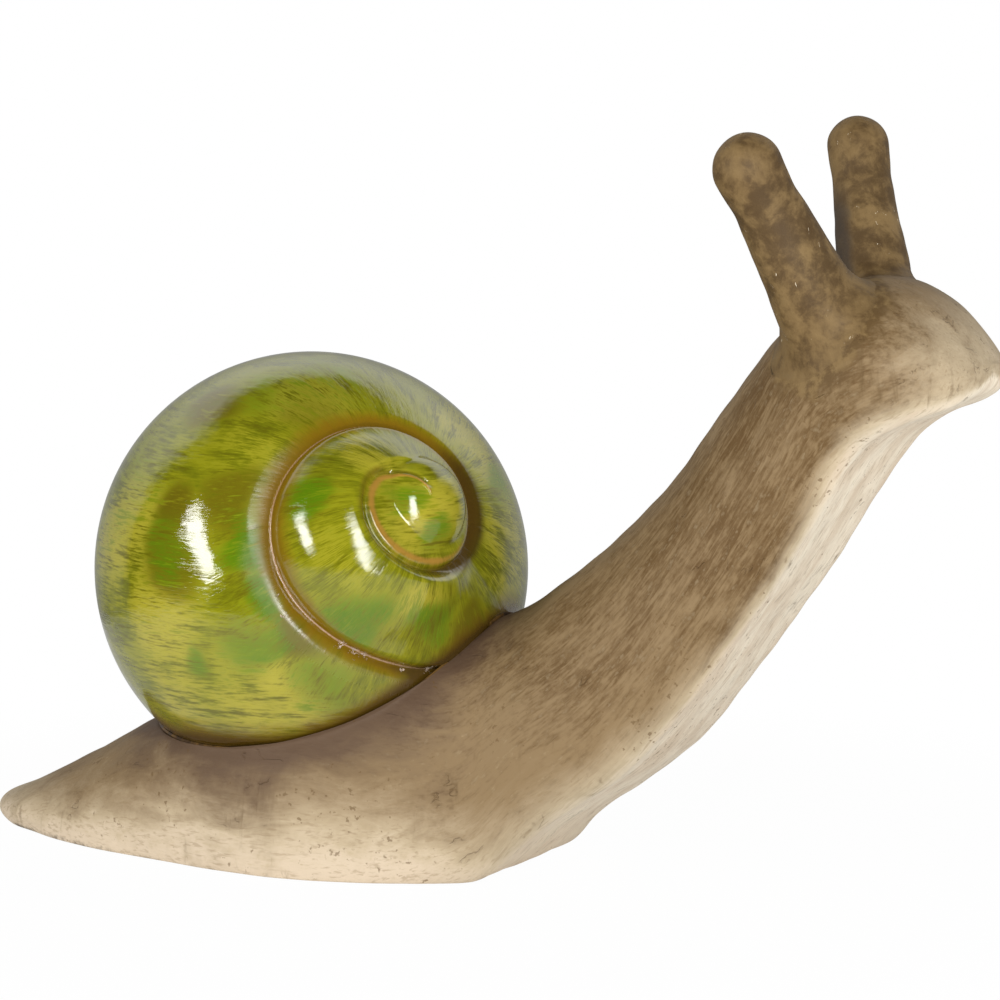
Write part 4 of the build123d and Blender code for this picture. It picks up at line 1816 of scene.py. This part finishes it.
@dataclass(frozen=True)
class Studio:
    """White room: a pale floor that keeps the shadow, two lamps, and a plain world."""

    floor_reach: float = 0.36
    floor_drop: float = 0.2 * MM
    floor_albedo: float = 0.86
    floor_roughness: float = 0.9
    floor_glow: float = 0.45
    shadow_share: float = 0.02
    shadow_shift: float = 0.02
    shadow_ends: Ramp = Ramp(0.03, 0.10)
    world_level: float = 0.54
    lean: tuple[float, float, float] = (1.1, -0.2, -0.65)
    lean_level: float = 0.28
    under: tuple[float, float] = (0.7, -0.7)
    under_level: float = 1.2
    wall_level: float = 1.05
    wall_x: Ramp = Ramp(0.65, 0.25)
    wall_y: Ramp = Ramp(-0.15, 0.05)
    wall_top: Ramp = Ramp(0.80, 0.68)
    wall_foot: Ramp = Ramp(-0.4, -0.1)
    wall_dim: float = 0.34
    wall_upward: Ramp = Ramp(0.1, 0.58, 0.66)
    wall_forward: Ramp = Ramp(-0.3, 0.3, 0.3)
    room_level: float = 0.02
    lamps: tuple[SoftBox, ...] = (
        SoftBox("window", (-0.550, -0.803, 0.228), 1.6, (0.27, 0.95), 10.5, 0.68),
        SoftBox("lamp", (0.5313, -0.8359, 0.1900), 1.6, (0.36, 1.3), 18.5, 0.12),
    )

    def floor(self) -> None:
        """Lays the floor, which fades to plain white away from the figure."""
        mesh = bpy.data.meshes.new("floor")
        reach = self.floor_reach
        corners = [(-reach, -reach), (reach, -reach), (reach, reach), (-reach, reach)]
        mesh.from_pydata([(x, y, -self.floor_drop) for x, y in corners], [], [(0, 1, 2, 3)])
        floor = bpy.data.objects.new("floor", mesh)
        bpy.context.scene.collection.objects.link(floor)
        mesh.materials.append(self.floor_paint())

    def floor_paint(self) -> bpy.types.Material:
        """White paint that the camera sees as glowing, with a little of the shadow left."""
        bench = Bench("floor")
        white = self.floor_albedo
        bench.feed(bench.shader, "Base Color", (white, white, white, 1.0))
        bench.feed(bench.shader, "Roughness", self.floor_roughness)
        bench.feed(bench.shader, "Specular IOR Level", 0.0)
        seen, glossy = bench.rays("Camera", "Glossy")
        glow = bench.node("ShaderNodeEmission", None, {"Color": (1, 1, 1, 1), "Strength": 1.0})
        x, y, _ = bench.split(bench.place)
        away = ((x + self.shadow_shift) ** 2.0 + y**2.0).rise(self.shadow_ends)
        lit = away * self.shadow_share + (1.0 - self.shadow_share)
        share = seen * lit + (1.0 - seen) * (1.0 - glossy) * self.floor_glow
        parts = {0: share, 1: bench.shader.outputs[0], 2: glow.outputs[0]}
        mix = bench.node("ShaderNodeMixShader", None, parts)
        bench.tree.links.new(mix.outputs[0], bench.output.inputs[0])
        return bench.material

    def world(self) -> None:
        """Sets the world: white where it is seen, soft light elsewhere.

        Reflections see one white wall behind the figure, brighter upwards and to the
        head's side, in a dark room. The soft light comes more from below and from the
        head's side.
        """
        world = bpy.data.worlds.new("studio")
        bpy.context.scene.world = world
        world.use_nodes = True
        bench = Bench.on_tree(world.node_tree)
        seen, glossy = bench.rays("Camera", "Glossy")
        x, y, z = bench.split(bench.node("ShaderNodeTexCoord").outputs["Generated"])
        wall = x.rise(self.wall_x) * y.rise(self.wall_y)
        wall = wall * z.rise(self.wall_top) * z.rise(self.wall_foot)
        bright = (z.rise(self.wall_upward) + self.wall_dim) * (x.rise(self.wall_forward) + 1.0)
        mirrored = wall * bright * self.wall_level + self.room_level
        lean = x * self.lean[0] + y * self.lean[1] + z * self.lean[2]
        under = (x * self.under[0] + z * self.under[1]).at_least(0.0)
        soft = lean * self.lean_level + self.world_level + under**2.0 * self.under_level
        level = soft + (mirrored - soft) * glossy
        level = level + (1.0 - level) * seen
        white = {"Color": (1.0, 1.0, 1.0, 1.0), "Strength": level}
        background = bench.node("ShaderNodeBackground", None, white)
        output = bench.node("ShaderNodeOutputWorld")
        bench.tree.links.new(background.outputs[0], output.inputs[0])

    def build(self) -> None:
        """Makes the whole room."""
        bpy.context.scene.view_settings.view_transform = "Standard"
        self.world()
        self.floor()
        for lamp in self.lamps:
            lamp.place()


def settle(piece: bpy.types.Object, material: bpy.types.Material, slot: str, *nodes: str) -> None:
    """Dresses a piece, lets it ride on the body and stand for its CAD nodes.

    Args:
        piece: The new piece.
        material: Its finish.
        slot: Name of a material slot; not used.
        nodes: CAD nodes that it stands for.
    """
    piece.data.materials.append(material)
    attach(piece, "root")
    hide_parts(*nodes)
    logger.info("%s stands for %s", piece.name, ", ".join(nodes))


def main() -> None:
    """Builds the room, then each piece of the figure in order."""
    logging.basicConfig(level=logging.INFO, format="%(message)s")
    Viewpoint().place()
    Studio().build()

    low, high = (np.array(corner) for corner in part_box("body"))
    body = BodyCasting(float(high[0] - low[0]))
    body.form()
    outer_form = body.grid.reshape(-1, 3)
    low, _ = (np.array(corner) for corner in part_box("shell"))
    shell = SpiralShell.seated(body.length, float(low[2]))
    join = ShellJoin(shell)
    join.fit(outer_form)

    settle(shell.build(join), ShellGlaze().dress(), "shell_glaze", "shell")
    stems = [Tentacle.on_head(side, body) for side in Side]
    for stem in stems:
        word = stem.side.name.lower()
        wash = TentacleWash().dress(f"tentacle_wash_{word}")
        settle(stem.build(), wash, "tentacle_clay", f"tentacle_{word}")
        collar = JointCollar(stem, outer_form)
        slip = TentacleWash().dress(f"joint_slip_{word}")
        settle(collar.build(), slip, "joint_slip", f"tentacle_joint_{word}")
    settle(body.build(shell, stems), ClayWash().dress(), "body_clay", "body")
    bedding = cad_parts["shell_bedding"]
    bedding.data.materials.clear()
    bedding.data.materials.append(BeddingSlip().dress())
    logger.info("shell_bedding keeps its solid")


if __name__ == "__main__":
    main()
